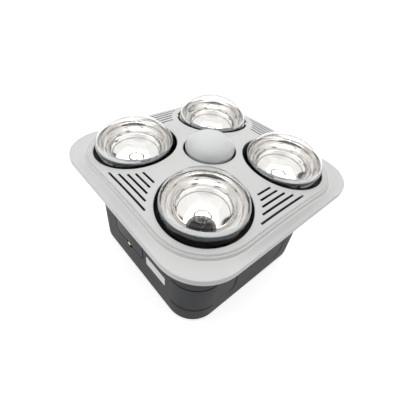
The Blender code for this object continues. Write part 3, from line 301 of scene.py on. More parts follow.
def arc(cx: float, cy: float, radius: float, start: float, end: float, steps: int) -> Profile:
    """Points round a centre from one angle to another, both ends included."""
    angles = [start + (end - start) * step / steps for step in range(steps + 1)]
    return [(cx + radius * math.cos(a), cy + radius * math.sin(a)) for a in angles]


def disc(radius: float, steps: int, x: float = 0.0, y: float = 0.0) -> Profile:
    """Points round a circle."""
    return arc(x, y, radius, 0.0, math.tau, steps)[:-1]


def box(left: float, right: float, low: float, high: float) -> Profile:
    """The corners of a rectangle."""
    return [(left, low), (right, low), (right, high), (left, high)]


def round_box(x: float, y: float, half_x: float, half_y: float, corner: float,
              steps: int) -> Profile:
    """Points round a rectangle about a centre, with an arc at each corner.

    Args:
        x: the centre on the first axis.
        y: the centre on the second.
        half_x: half the width.
        half_y: half the height.
        corner: the corners' radius.
        steps: steps in each corner.

    Returns:
        The closed outline, counter-clockwise.
    """
    points: Profile = []
    for index, (sx, sy) in enumerate(CROSS):
        points += arc(x + sx * (half_x - corner), y + sy * (half_y - corner), corner,
                      QUARTER * index, QUARTER * (index + 1), steps)
    return points


def rounded_square(half: float, corner: float, corner_steps: int = 24,
                   side_steps: int = 1) -> Profile:
    """Points round a square with arcs at its corners, evenly split on its sides.

    Args:
        half: half the square's width.
        corner: the radius of its corners.
        corner_steps: how many pieces each corner is split into.
        side_steps: how many pieces each side is split into.

    Returns:
        The points, anticlockwise.
    """
    points = []
    inner = half - corner
    for angle in WALL_ANGLES:
        rotation = Matrix.Rotation(angle, 2)
        ring = [rotation @ Vector(p) for p in arc(inner, inner, corner, 0.0, QUARTER, corner_steps)]
        end = rotation @ Vector((-inner, half))
        side = [ring[-1].lerp(end, step / side_steps) for step in range(1, side_steps)]
        points.extend(tuple(p) for p in ring + side)
    return points


def raised(table: Sequence[Point], low: float) -> Profile:
    """Turns (radius, height) pairs in millimetres into a profile that stands on a height."""
    return [(radius * MM, low + height * MM) for radius, height in table]


def bridge(bm: BMesh, rings: Sequence[Sequence]) -> None:
    """Joins each closed ring of vertices to the next, of the same count, with quads.

    Args:
        bm: the body being built.
        rings: its rings of vertices in order.
    """
    for lower, upper in zip(rings, rings[1:]):
        count = len(lower)
        for index in range(count):
            after = (index + 1) % count
            bm.faces.new((lower[index], lower[after], upper[after], upper[index]))


def loft(rings: Sequence[Sequence[Triple]]) -> BMesh:
    """Closes a body from rings of points that run from its first cap to its last.

    Args:
        rings: rings of the same count of points.

    Returns:
        The closed body.
    """
    bm = bmesh.new()
    loops = [[bm.verts.new(point) for point in ring] for ring in rings]
    bridge(bm, loops)
    bm.faces.new(list(reversed(loops[0])))
    bm.faces.new(loops[-1])
    bmesh.ops.recalc_face_normals(bm, faces=bm.faces)
    return bm


def prism(outline: Profile, low: float, high: float) -> BMesh:
    """Extrudes a flat outline from one height to another."""
    return loft([[(x, y, z) for x, y in outline] for z in (low, high)])


def turned(profile: Profile, steps: int = 96) -> BMesh:
    """Revolves a closed profile of (radius, height) points round the Z axis.

    Args:
        profile: the points of the profile, whose ends may both lie on the axis.
        steps: how many pieces a turn is split into.

    Returns:
        The body.
    """
    bm = bmesh.new()
    rings = []
    for radius, height in profile:
        if radius < 1e-7:
            rings.append([bm.verts.new((0.0, 0.0, height))])
        else:
            rings.append([bm.verts.new((radius * math.cos(math.tau * i / steps),
                                        radius * math.sin(math.tau * i / steps), height))
                          for i in range(steps)])
    for lower, upper in zip(rings, rings[1:] + rings[:1]):
        if len(lower) == 1 and len(upper) == 1:
            continue
        for i in range(steps):
            after = (i + 1) % steps
            corners = [lower[i % len(lower)], lower[after % len(lower)],
                       upper[after % len(upper)], upper[i % len(upper)]]
            bm.faces.new(list(dict.fromkeys(corners)))
    bmesh.ops.recalc_face_normals(bm, faces=bm.faces)
    return bm


def rounded(profile: Profile, radius: float, steps: int = 3) -> Profile:
    """Rounds the corners of an open profile that turn by more than a little.

    Args:
        profile: the points of the profile.
        radius: the radius at each corner, less where its sides are short.
        steps: how many pieces each corner is split into.

    Returns:
        The profile with its new points.
    """
    least_bend, side_share = 0.3, 0.45
    points = [Vector(p) for p in profile]
    made = [profile[0]]
    for before, here, after in zip(points, points[1:], points[2:]):
        back, ahead = before - here, after - here
        bend = back.angle(-ahead, 0.0)
        if bend < least_bend:
            made.append(tuple(here))
            continue
        reach = min(radius * math.tan(bend / 2), back.length * side_share,
                    ahead.length * side_share)
        start, end = here + back.normalized() * reach, here + ahead.normalized() * reach
        for step in range(steps + 1):
            t = step / steps
            made.append(tuple(start * (1 - t) ** 2 + here * 2 * t * (1 - t) + end * t ** 2))
    return made + [profile[-1]]


def merge_into(bm: BMesh, other: BMesh) -> BMesh:
    """Copies one body into another, frees it and returns the first.

    Args:
        bm: the body that grows.
        other: the body that goes into it.

    Returns:
        The body that grew.
    """
    mesh = bpy.data.meshes.new("merge")
    other.to_mesh(mesh)
    other.free()
    bm.from_mesh(mesh)
    bpy.data.meshes.remove(mesh)
    return bm


def moved(bm: BMesh, matrix: Matrix) -> BMesh:
    """Moves all of a body by a matrix and returns it."""
    bmesh.ops.transform(bm, matrix=matrix, verts=bm.verts)
    return bm


def shifted(bm: BMesh, x: float, y: float) -> BMesh:
    """Moves a body level to a place and returns it."""
    return moved(bm, Matrix.Translation((x, y, 0.0)))


def smooth(mesh: bpy.types.Mesh, sharp: float) -> None:
    """Shades a mesh smooth, but for its edges from an angle in degrees."""
    mesh.shade_smooth()
    mesh.set_sharp_from_angle(angle=math.radians(sharp))


def linked(name: str, data: bpy.types.ID) -> Object:
    """Makes an object of some data and links it to the scene.

    Args:
        name: the object's name.
        data: its mesh, light or camera.

    Returns:
        The new object.
    """
    obj = bpy.data.objects.new(name, data)
    bpy.context.scene.collection.objects.link(obj)
    return obj


def as_object(name: str, bm: BMesh, *finishes: Finish | BlownGlass,
              sharp: float = SHARP) -> Object:
    """Makes an object of a body, smooth but for its sharp edges.

    Args:
        name: the object's name.
        bm: the body, which is freed.
        finishes: the finishes of its slots.
        sharp: the angle in degrees from which an edge stays sharp.

    Returns:
        The object, at the origin.
    """
    mesh = bpy.data.meshes.new(name)
    bm.to_mesh(mesh)
    bm.free()
    smooth(mesh, sharp)
    for finish in finishes:
        mesh.materials.append(finish.make())
    return linked(name, mesh)


def baked(obj: Object, sharp: float = SHARP) -> Object:
    """Turns an object's modifiers into its own mesh, takes them off and returns it.

    Args:
        obj: the object.
        sharp: the angle, in degrees, from which edges stay sharp.

    Returns:
        The same object.
    """
    evaluated = obj.evaluated_get(bpy.context.evaluated_depsgraph_get())
    mesh = bpy.data.meshes.new_from_object(evaluated)
    mesh.name = obj.name
    obj.modifiers.clear()
    obj.data = mesh
    smooth(mesh, sharp)
    return obj


def carve(obj: Object, tool: BMesh, joins: bool = False) -> None:
    """Cuts a tool out of an object, or joins it on, and drops the tool.

    Args:
        obj: the object to change.
        tool: the body to cut with, which is freed.
        joins: joins the tool on instead.
    """
    cutter = as_object("tool", tool)
    step = obj.modifiers.new("carve", "BOOLEAN")
    step.operation = "UNION" if joins else "DIFFERENCE"
    step.solver = "EXACT"
    step.object = cutter
    baked(obj)
    bpy.data.objects.remove(cutter, do_unlink=True)


def soften(obj: Object, width: float) -> None:
    """Rounds an object's sharp edges, as a mould or a fold does.

    Args:
        obj: the object.
        width: how far the rounding reaches.
    """
    bevel = obj.modifiers.new("soften", "BEVEL")
    bevel.width = width
    bevel.segments = 2
    bevel.limit_method = "ANGLE"
    bevel.angle_limit = math.radians(35.0)
    baked(obj, 60.0)


def merged_copy(node: str, name: str, finish: Finish) -> Object:
    """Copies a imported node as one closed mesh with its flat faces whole.

    Args:
        node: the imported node's name.
        name: the new object's name.
        finish: its finish.

    Returns:
        The new object.
    """
    bm = bmesh.new()
    bm.from_mesh(bpy.data.objects[node].data)
    bmesh.ops.remove_doubles(bm, verts=bm.verts, dist=1e-6)
    bmesh.ops.dissolve_limit(bm, angle_limit=math.radians(1.0), verts=bm.verts, edges=bm.edges)
    return as_object(name, bm, finish)


def settle(obj: Object, body: str, slot: str, *nodes: str, soft: float = 0.0) -> Object:
    """Puts a finished piece on its body and hides the imported nodes that it replaces.

    Args:
        obj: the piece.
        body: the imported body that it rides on.
        slot: not used.
        nodes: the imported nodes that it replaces.
        soft: the width of the round on its sharp edges.

    Returns:
        The same piece.
    """
    if soft:
        soften(obj, soft)
    if nodes:
        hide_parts(*nodes)
    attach(obj, body)
    LOG.info("%s rides %s, %d faces", obj.name, body, len(obj.data.polygons))
    return obj


def piece(name: str, bm: BMesh, finish: Finish | BlownGlass, body: str, slot: str, *nodes: str,
          soft: float = 0.0) -> Object:
    """Makes an object of a body in a finish, and settles it."""
    return settle(as_object(name, bm, finish), body, slot, *nodes, soft=soft)


def inside(point: Point, loop: Profile) -> bool:
    """Whether a point lies in a closed loop.

    Args:
        point: the point.
        loop: the loop's points in order.

    Returns:
        True if it lies inside.
    """
    x, y = point
    odd = False
    for (ax, ay), (bx, by) in zip(loop, loop[1:] + loop[:1]):
        if (ay > y) != (by > y) and x < (bx - ax) * (y - ay) / (by - ay) + ax:
            odd = not odd
    return odd


def pierced_sheet(outer: Profile, holes: Sequence[Profile],
                  spacing: float) -> tuple[Profile, list[tuple[int, ...]]]:
    """Splits a flat sheet with holes into even triangles.

    Args:
        outer: the sheet's outline.
        holes: the outlines of its holes.
        spacing: the distance between its inner points.

    Returns:
        Its points, with the outline's first and the holes' in order, and its triangles.
    """
    loops = [outer, *holes]
    points = [p for loop in loops for p in loop]
    tree = KDTree(len(points))
    for index, (x, y) in enumerate(points):
        tree.insert((x, y, 0.0), index)
    tree.balance()
    edges = []
    start = 0
    for loop in loops:
        edges += [(start + i, start + (i + 1) % len(loop)) for i in range(len(loop))]
        start += len(loop)

    def on_sheet(point: Point) -> bool:
        """Whether a point lies in the sheet and in none of its holes."""
        return inside(point, outer) and not any(inside(point, hole) for hole in holes)

    reach = max(abs(x) for x, _ in outer)
    count = int(2 * reach / spacing)
    clear = 0.55 * spacing
    for row in range(count + 1):
        for column in range(count + 1):
            x = -reach + spacing * (column + 0.5 * (row % 2))
            y = -reach + spacing * row
            if tree.find((x, y, 0.0))[2] > clear and on_sheet((x, y)):
                points.append((x, y))
    places, _, found, origins, *_ = delaunay_2d_cdt([Vector(p) for p in points], edges, [], 0, 1e-7)
    faces = []
    for face in found:
        middle = sum((places[i] for i in face), Vector((0.0, 0.0))) / len(face)
        if on_sheet(middle):
            faces.append(tuple(origins[i][0] for i in face))
    return points, faces


# -------------------------------------------------------- Geometry Nodes trees

class ShapeTree:
    """A Geometry Nodes tree with named inputs, whose result is realized and dressed."""

    def __init__(self, name: str, sizes: dict[str, str]) -> None:
        """Starts the tree.

        Args:
            name: the tree's name.
            sizes: the kind of socket of each named input.
        """
        self.tree = bpy.data.node_groups.new(name, "GeometryNodeTree")
        sockets = self.tree.interface
        sockets.new_socket("Geometry", in_out="OUTPUT", socket_type="NodeSocketGeometry")
        for label, kind in {"Geometry": "Geometry", "Finish": "Material", **sizes}.items():
            sockets.new_socket(label, in_out="INPUT", socket_type="NodeSocket" + kind)
        self.given = self.tree.nodes.new("NodeGroupInput").outputs

    def end(self, shape: NodeSocket) -> "ShapeTree":
        """Ends the tree in Realize Instances and Set Material.

        Args:
            shape: the geometry that the tree has made.

        Returns:
            The tree.
        """
        real = add_node(self.tree, "GeometryNodeRealizeInstances", inputs={0: shape})
        dressed = add_node(self.tree, "GeometryNodeSetMaterial", inputs={
            "Geometry": real.outputs[0], "Material": self.given["Finish"]})
        add_node(self.tree, "NodeGroupOutput", inputs={0: dressed.outputs[0]})
        return self

    def run(self, obj: Object, finish: Finish, sharp: float = SHARP, **sizes: object) -> Object:
        """Puts the tree's result into an object's own mesh.

        Args:
            obj: the object that the tree starts from.
            finish: the finish that the tree sets.
            sharp: the angle in degrees from which an edge stays sharp.
            sizes: a value for each named input.

        Returns:
            The same object.
        """
        step = obj.modifiers.new(self.tree.name, "NODES")
        step.node_group = self.tree
        keys = {item.name: item.identifier for item in self.tree.interface.items_tree
                if item.in_out == "INPUT"}
        for label, value in {"Finish": finish.make(), **sizes}.items():
            step[keys[label]] = value
        return baked(obj, sharp)


@cache
def wire_tree() -> ShapeTree:
    """A tree that draws the edges of a mesh as round wire.

    Returns:
        The tree, made once.
    """
    shape = ShapeTree("wire", {"Gauge": "Float", "Sides": "Int"})
    tree, given = shape.tree, shape.given
    path = add_node(tree, "GeometryNodeMeshToCurve", inputs={"Mesh": given["Geometry"]})
    ring = add_node(tree, "GeometryNodeCurvePrimitiveCircle", {"mode": "RADIUS"}, {
        "Resolution": given["Sides"], "Radius": given["Gauge"]})
    skin = add_node(tree, "GeometryNodeCurveToMesh", inputs={
        "Curve": path.outputs[0], "Profile Curve": ring.outputs[0], "Fill Caps": True})
    return shape.end(skin.outputs[0])


@cache
def ring_tree() -> ShapeTree:
    """A tree that repeats a mesh round an upright axis.

    Returns:
        The tree, made once.
    """
    shape = ShapeTree("ring", {"Count": "Int", "Centre": "Vector"})
    tree, given = shape.tree, shape.given
    places = add_node(tree, "GeometryNodeMeshLine", inputs={
        "Count": given["Count"], "Start Location": given["Centre"], "Offset": (0.0, 0.0, 0.0)})
    index = add_node(tree, "GeometryNodeInputIndex")
    share = add_node(tree, "ShaderNodeMath", {"operation": "DIVIDE"}, {
        0: index.outputs[0], 1: given["Count"]})
    angle = add_node(tree, "ShaderNodeMath", {"operation": "MULTIPLY"}, {
        0: share.outputs[0], 1: math.tau})
    turn = add_node(tree, "ShaderNodeCombineXYZ", inputs={"Z": angle.outputs[0]})
    copied = add_node(tree, "GeometryNodeInstanceOnPoints", inputs={
        "Points": places.outputs[0], "Instance": given["Geometry"],
        "Rotation": turn.outputs[0]})
    return shape.end(copied.outputs[0])


@cache
def copies_tree() -> ShapeTree:
    """A tree that puts an item on each point, turned as the point's "turn" says.

    Returns:
        The tree, made once.
    """
    shape = ShapeTree("copies", {"Item": "Object"})
    tree, given = shape.tree, shape.given
    item = add_node(tree, "GeometryNodeObjectInfo", inputs={"Object": given["Item"]})
    turn = add_node(tree, "GeometryNodeInputNamedAttribute", {"data_type": "FLOAT_VECTOR"}, {
        "Name": "turn"})
    copied = add_node(tree, "GeometryNodeInstanceOnPoints", inputs={
        "Points": given["Geometry"], "Instance": item.outputs["Geometry"],
        "Rotation": turn.outputs["Attribute"]})
    return shape.end(copied.outputs[0])


def wire(name: str, finish: Finish, gauge: float, *paths: Sequence[Sequence[float]],
         sides: int = 8) -> Object:
    """Makes round wires along paths, as one object.

    Args:
        name: the object's name.
        finish: its finish.
        gauge: half the wire's thickness.
        paths: the points of each wire.
        sides: how many sides the wire has.

    Returns:
        The object.
    """
    bm = bmesh.new()
    for path in paths:
        points = [bm.verts.new(p) for p in path]
        for start, end in zip(points, points[1:]):
            bm.edges.new((start, end))
    return wire_tree().run(as_object(name, bm), finish, 60.0, Gauge=gauge, Sides=sides)


def ringed(name: str, item: BMesh, finish: Finish, count: int, x: float, y: float) -> Object:
    """Repeats an item evenly round an upright axis, as one object."""
    return ring_tree().run(as_object(name, item), finish, Count=count, Centre=(x, y, 0.0))


def copies(name: str, finish: Finish, item: BMesh, places: Sequence[Matrix]) -> Object:
    """Repeats a small item at a list of places, as one object.

    Args:
        name: the object's name.
        finish: its finish.
        item: the item round the origin, which is freed.
        places: where each copy goes and how it is turned.

    Returns:
        The object.
    """
    master = as_object("item", item)
    mesh = bpy.data.meshes.new(name)
    mesh.from_pydata([place.translation for place in places], [], [])
    turn = mesh.attributes.new("turn", "FLOAT_VECTOR", "POINT")
    for entry, place in zip(turn.data, places):
        entry.vector = place.to_euler()
    obj = copies_tree().run(linked(name, mesh), finish, Item=master)
    bpy.data.objects.remove(master, do_unlink=True)
    return obj


def smooth_path(points: Sequence[Sequence[float]], steps: int = 6) -> list[Vector]:
    """Rounds a path through its points, with a count of steps between two of them.

    Args:
        points: the points the path goes through.
        steps: steps between one point and the next.

    Returns:
        The rounded path.
    """
    given = [Vector(p) for p in points]
    ends = [given[0] * 2 - given[1], *given, given[-1] * 2 - given[-2]]
    made = []
    for a, b, c, d in zip(ends, ends[1:], ends[2:], ends[3:]):
        for step in range(steps):
            t = step / steps
            made.append(0.5 * (2 * b + (c - a) * t + (2 * a - 5 * b + 4 * c - d) * t ** 2
                               + (3 * b - a - 3 * c + d) * t ** 3))
    return made + [given[-1]]


# ---------------------------------------------------------------------- fascia

@dataclass
class Fascia:
    """The pale crowned panel with its border, lamp openings and vent slots."""

    half: float = 0.180
    corner: float = 0.066
    panel_half: float = 0.160
    panel_corner: float = 0.079
    wall: float = 0.0025
    crown_top: float = 0.217
    crown_radius: float = 0.966
    rim_top: float = 0.192
    ceiling: float = 0.183
    rim_edge: float = 0.0013
    rim_foot: float = 0.0004
    under_shelf: float = 0.006
    lamp_pitch: float = 0.085
    lamp_opening: float = 0.0671
    lamp_steps: int = 132
    light_opening: float = 0.0429
    light_steps: int = 96
    lip: float = 0.0008
    slot_lip: float = 0.00035
    slot_edge: float = 0.0008
    slot_rebate: float = 0.0012
    slot_half_width: float = 0.0016
    slot_bend: float = 0.0004
    slot_step: float = 0.003
    slot_distances: tuple[float, ...] = (0.1531, 0.1441, 0.1351, 0.1260, 0.1166)
    slot_half_lengths: tuple[float, ...] = (0.0473, 0.0346, 0.0252, 0.0185, 0.0142)
    groove_drops: Sequence[Point] = (
        (0.0007, 0.00003), (0.0013, 0.0005), (0.0018, 0.0018), (0.0023, 0.0025),
        (0.0028, 0.0021), (0.0034, 0.0009), (0.0042, 0.0004), (0.0050, 0.0005),
        (0.0057, 0.0014), (0.0062, 0.0028), (0.0068, 0.0036), (0.0076, 0.0036),
        (0.0084, 0.0031))
    flange_shares: Sequence[Point] = (
        (0.08, 0.06), (0.18, 0.18), (0.30, 0.33), (0.45, 0.54), (0.62, 0.74), (0.75, 0.87),
        (0.85, 0.95), (0.92, 0.99))
    boss_x: float = 0.080
    boss_radius: float = 0.0055
    boss_length: float = 0.008
    foot_place: Point = (0.15025, 0.057)
    foot_radius: float = 0.0032
    foot_low: float = 0.1863
    side_steps: int = 20
    edge_steps: int = 4
    spacing: float = 0.0075

    def crown(self, x: float, y: float) -> float:
        """Height of the domed top above a place."""
        return self.crown_top - (x * x + y * y) / (2 * self.crown_radius)

    def over(self, outline: Profile, drop: float) -> list[Triple]:
        """Lays an outline on the dome, lowered by a drop."""
        return [(x, y, self.crown(x, y) - drop) for x, y in outline]

    def square(self, half: float, corner: float) -> Profile:
        """A rounded square with the count of points that all the rings share."""
        return rounded_square(half, corner, side_steps=self.side_steps)

    def level(self, inset: float, height: float) -> list[Triple]:
        """A level ring at an inset from the fascia's outer edge."""
        outline = self.square(self.half - inset, self.corner - inset)
        return [(x, y, height) for x, y in outline]

    def holes(self) -> list[tuple[Callable[[float], Profile], float, float, float]]:
        """Each opening's outline, drawn at an offset, its lip, its edge and its rebate.

        Returns:
            A row for each of the five openings.
        """
        made = []
        places = [(sx * self.lamp_pitch, sy * self.lamp_pitch, self.lamp_opening, self.lamp_steps)
                  for sx in (-1, 1) for sy in (-1, 1)]
        for x, y, radius, steps in places + [(0.0, 0.0, self.light_opening, self.light_steps)]:
            made.append((lambda grow, x=x, y=y, r=radius, n=steps: disc(r + grow, n, x, y),
                         self.lip, self.wall, self.lip))
        for angle in WALL_ANGLES:
            for distance, half in zip(self.slot_distances, self.slot_half_lengths):
                made.append((lambda grow, a=angle, d=distance, h=half: self.slot(grow, a, d, h),
                             self.slot_lip, self.slot_edge, self.slot_rebate))
        return made

    def slot(self, grow: float, angle: float, distance: float, half: float) -> Profile:
        """Outline of one vent slot with its ends a little rounded.

        Args:
            grow: how far the outline stands off the slot's wall.
            angle: the side of the fascia, as a turn.
            distance: how far the slot lies from the centre.
            half: half its length.

        Returns:
            The points.
        """
        rotation = Matrix.Rotation(angle, 2)
        count = max(2, int(half / self.slot_step))
        points = round_box(distance, 0.0, self.slot_half_width + grow, half + grow,
                           self.slot_bend + grow, 2)
        filled: Profile = []
        for (ax, ay), (bx, by) in zip(points, points[1:] + points[:1]):
            filled.append((ax, ay))
            if abs(by - ay) > half:
                filled += [(ax + (bx - ax) * i / count, ay + (by - ay) * i / count)
                           for i in range(1, count)]
        return [tuple(rotation @ Vector(p)) for p in filled]

    def border(self) -> list[list[Triple]]:
        """Rings from the panel's edge over the bead and the rim, and back below.

        Returns:
            The rings, from the panel outwards.
        """
        rings = [self.over(self.square(self.panel_half + t, self.panel_corner + t), drop)
                 for t, drop in self.groove_drops]
        t, last_drop = self.groove_drops[-1]
        start_half, start_corner = self.panel_half + t, self.panel_corner + t
        for width, plane in self.flange_shares:
            outline = self.square(start_half + (self.half - start_half) * width,
                                  start_corner + (self.corner - start_corner) * width)
            rings.append([(x, y, z * (1 - plane) + self.rim_top * plane)
                          for x, y, z in self.over(outline, last_drop)])
        edge, foot, under = self.rim_edge, self.rim_foot, self.under_shelf
        for step in range(self.edge_steps + 1):
            angle = QUARTER * step / self.edge_steps
            rings.append(self.level(edge * (1 - math.sin(angle)),
                                    self.rim_top - edge * (1 - math.cos(angle))))
        rings += [self.level(0.0, self.ceiling + foot), self.level(foot, self.ceiling),
                  self.level(self.wall, self.ceiling),
                  self.level(self.wall, self.rim_top - edge - self.wall)]
        rings.append(self.over(self.square(self.panel_half + under, self.panel_corner + under),
                               self.wall + self.groove_drops[3][1]))
        return rings

    def build(self) -> None:
        """Builds the panel: its dome round each opening, its border and its bosses."""
        holes = self.holes()
        outer = self.square(self.panel_half, self.panel_corner)
        loops = [outline(rebate) for outline, _, _, rebate in holes]
        points, faces = pierced_sheet(outer, loops, self.spacing)
        bm = bmesh.new()
        top, under = ([bm.verts.new(p) for p in self.over(points, drop)]
                      for drop in (0.0, self.wall))
        for face in faces:
            bm.faces.new([top[i] for i in face])
            bm.faces.new([under[i] for i in reversed(face)])
        start = len(outer)
        for (outline, lip, edge, rebate), loop in zip(holes, loops):
            inner = [self.over(outline(lip), 0.0)] if rebate > lip else []
            for step in range(1, self.edge_steps + 1):
                angle = QUARTER * step / self.edge_steps
                inner.append(self.over(outline(lip * (1 - math.sin(angle))),
                                       lip * (1 - math.cos(angle))))
            inner.append(self.over(outline(0.0), edge))
            end = start + len(loop)
            bridge(bm, [top[start:end], *([bm.verts.new(p) for p in ring] for ring in inner),
                        under[start:end]])
            start = end
        bridge(bm, [top[:len(outer)], *([bm.verts.new(p) for p in ring] for ring in self.border()),
                    under[:len(outer)]])
        bmesh.ops.recalc_face_normals(bm, faces=bm.faces)
        self.bosses(bm)
        panel = as_object("fascia_panel", bm, SATIN_ABS, sharp=38.0)
        settle(panel, Body.FASCIA, "fascia_plastic", "fascia")

    def bosses(self, bm: BMesh) -> None:
        """Adds the bosses under the panel that the spring clips and the flange meet.

        Args:
            bm: the body being built.
        """
        for side in (-1, 1):
            x = side * self.boss_x
            low = self.crown(x, 0.0) - self.wall - self.boss_length
            merge_into(bm, self.boss(x, 0.0, self.boss_radius, low))
        for angle in WALL_ANGLES:
            for side in (-1, 1):
                place = Vector((self.foot_place[0], side * self.foot_place[1]))
                x, y = Matrix.Rotation(angle, 2) @ place
                merge_into(bm, self.boss(x, y, self.foot_radius, self.foot_low))

    def boss(self, x: float, y: float, radius: float, low: float) -> BMesh:
        """A moulded boss from a height up into the panel.

        Args:
            x: its axis on X.
            y: its axis on Y.
            radius: its radius.
            low: the height of its lower end.

        Returns:
            The boss.
        """
        bevel, round_off, taper, flare = 1.2 * MM, 0.6 * MM, 0.9, 1.06
        high = self.crown(x, y) - self.wall + 1.0 * MM
        profile = rounded([(0.0, low), (radius * taper, low), (radius, low + bevel),
                           (radius * flare, high), (0.0, high)], round_off)
        return shifted(turned(profile, 32), x, y)


# --------------------------------------------------------------------- housing

@dataclass
class Housing:
    """The charcoal tub with its corner grooves, wall grooves and cover opening."""

    half: float = 0.145
    corner: float = 0.048
    wall: float = 0.0025
    edge: float = 0.008
    edge_steps: int = 6
    flange_half: float = 0.158
    flange_corner: float = 0.061
    ceiling: float = 0.183
    flange_top: float = 0.186
    corner_grooves: tuple[float, ...] = (0.0955, 0.0360)
    wall_grooves: tuple[Triple, ...] = ((-0.0485, 0.047, 0.011), (0.0770, 0.044, 0.017))
    groove_width: float = 0.0030
    groove_depth: float = 0.0018
    groove_top: float = 0.140
    groove_run: float = 0.016
    groove_end: float = math.radians(-80)
    overrun: float = 0.004
    cover_x: float = -0.0245
    cover_half: float = 0.0425
    cover_low: float = 0.057
    cover_high: float = 0.147
    cover_corner: float = 0.006
    cover_tab: float = 0.0065
    cover_gap: float = 0.0018
    cover_inset: float = 0.0007
    duct_x: float = 0.031
    duct_z: float = 0.0668
    duct_bore: float = 0.0477
    posts: tuple[Point, ...] = ((-0.0435, 0.0475), (-0.0817, -0.0080), (-0.0140, -0.0827),
                                (0.0677, -0.0080))
    post_radius: float = 0.0075
    post_taper: float = 0.94
    post_top: float = 0.0337
    post_bore: Point = (0.0019, 0.012)
    gusset: Triple = (0.010, 0.010, 0.0157)
    gusset_top: float = 0.1757
    steps: int = 24

    def rings(self) -> list[list[Triple]]:
        """Rings up the outside of the tub, over its flange and down inside.

        Returns:
            The rings, all of the same count.
        """
        levels = []
        for step in range(self.edge_steps + 1):
            angle = QUARTER * step / self.edge_steps
            shrink = self.edge * (1 - math.sin(angle))
            levels.append((self.half - shrink, self.corner - shrink,
                           self.edge * (1 - math.cos(angle))))
        inner, bend = self.half - self.wall, self.corner - self.wall
        turn = self.edge - self.wall
        fold = turn * 0.3
        levels += [(self.half, self.corner, self.ceiling),
                   (self.flange_half, self.flange_corner, self.ceiling),
                   (self.flange_half, self.flange_corner, self.flange_top),
                   (inner, bend, self.flange_top), (inner, bend, self.edge),
                   (inner - fold, bend - fold, self.wall + fold),
                   (inner - turn, bend - turn, self.wall)]
        return [[(x, y, z) for x, y in rounded_square(h, c, self.steps)] for h, c, z in levels]

    def cover_outline(self, grow: float) -> Profile:
        """Outline in X and Z of the cover and the tab round its screw.

        Args:
            grow: how far the outline lies outside the cover.

        Returns:
            The closed outline.
        """
        half, corner = self.cover_half + grow, self.cover_corner + grow
        low, high = self.cover_low - grow, self.cover_high + grow
        points = arc(self.cover_x, low, self.cover_tab + grow, math.pi, math.tau, 24)
        for x, z, start in ((half - corner, low + corner, -1), (half - corner, high - corner, 0),
                            (corner - half, high - corner, 1), (corner - half, low + corner, 2)):
            points += arc(self.cover_x + x, z, corner, QUARTER * start, QUARTER * (start + 1), 8)
        return points

    def grooves(self) -> BMesh:
        """The tool that cuts the grooves in the corners and in the side walls.

        Returns:
            The tool as one body.
        """
        bm = bmesh.new()
        inner, wide = self.half - self.corner, self.groove_width / 2
        for angle in WALL_ANGLES:
            start, end = -self.groove_run, QUARTER + self.groove_run
            outline = arc(inner, inner, self.corner + self.overrun, start, end, self.steps)
            outline += arc(inner, inner, self.corner - self.groove_depth, end, start, self.steps)
            for height in self.corner_grooves:
                strip = prism(outline, height - wide, height + wide)
                merge_into(bm, moved(strip, Matrix.Rotation(angle, 4, "Z")))
        for side in (0.0, math.pi):
            for offset, bend, radius in self.wall_grooves:
                outline = arc(offset - radius, bend, radius + wide, 0.0, self.groove_end, 12)
                outline += arc(offset - radius, bend, radius - wide, self.groove_end, 0.0, 12)
                outline += [(offset - wide, self.groove_top), (offset + wide, self.groove_top)]
                strip = prism(outline, self.half - self.groove_depth, self.half + self.overrun)
                merge_into(bm, moved(strip, Matrix.Rotation(side, 4, "Z") @ FACING_SIDE))
        return bm

    def build(self) -> None:
        """Builds the tub: its walls, its grooves, and the holes of cover and duct."""
        tub = as_object("housing_tub", loft(self.rings()), CHARCOAL_TUB)
        carve(tub, self.additions(), joins=True)
        carve(tub, self.grooves())
        near, far = self.half - self.wall - self.overrun, self.half + self.overrun
        opening = moved(prism(self.cover_outline(self.cover_gap), near, far), FACING_BACK)
        drill = disc(self.duct_bore, 96, self.duct_x, self.duct_z)
        carve(tub, merge_into(opening, moved(prism(drill, -far, -near), FACING_BACK)))
        settle(tub, Body.ROOT, "housing_plastic", "housing")

    def additions(self) -> BMesh:
        """The posts below the blower and the gussets that carry the heat shield.

        Returns:
            The posts and gussets as one body.
        """
        bm = bmesh.new()
        foot, top, (bore, depth) = self.wall / 2, self.post_top, self.post_bore
        profile = [(0.0, foot), (self.post_radius, foot), (self.post_radius * self.post_taper, top),
                   (bore, top), (bore, top - depth), (0.0, top - depth)]
        for x, y in self.posts:
            merge_into(bm, shifted(turned(profile, 40), x, y))
        (out, half, deep), high = self.gusset, self.gusset_top
        outer, inner = self.half - self.wall / 2, self.half - self.wall - out
        for angle in WALL_ANGLES:
            ledge = prism([(outer, high), (inner, high), (outer, high - deep)], -half, half)
            merge_into(bm, moved(ledge, Matrix.Rotation(angle, 4, "Z") @ FACING_BACK))
        return bm


# ----------------------------------------------------------------------- bulbs

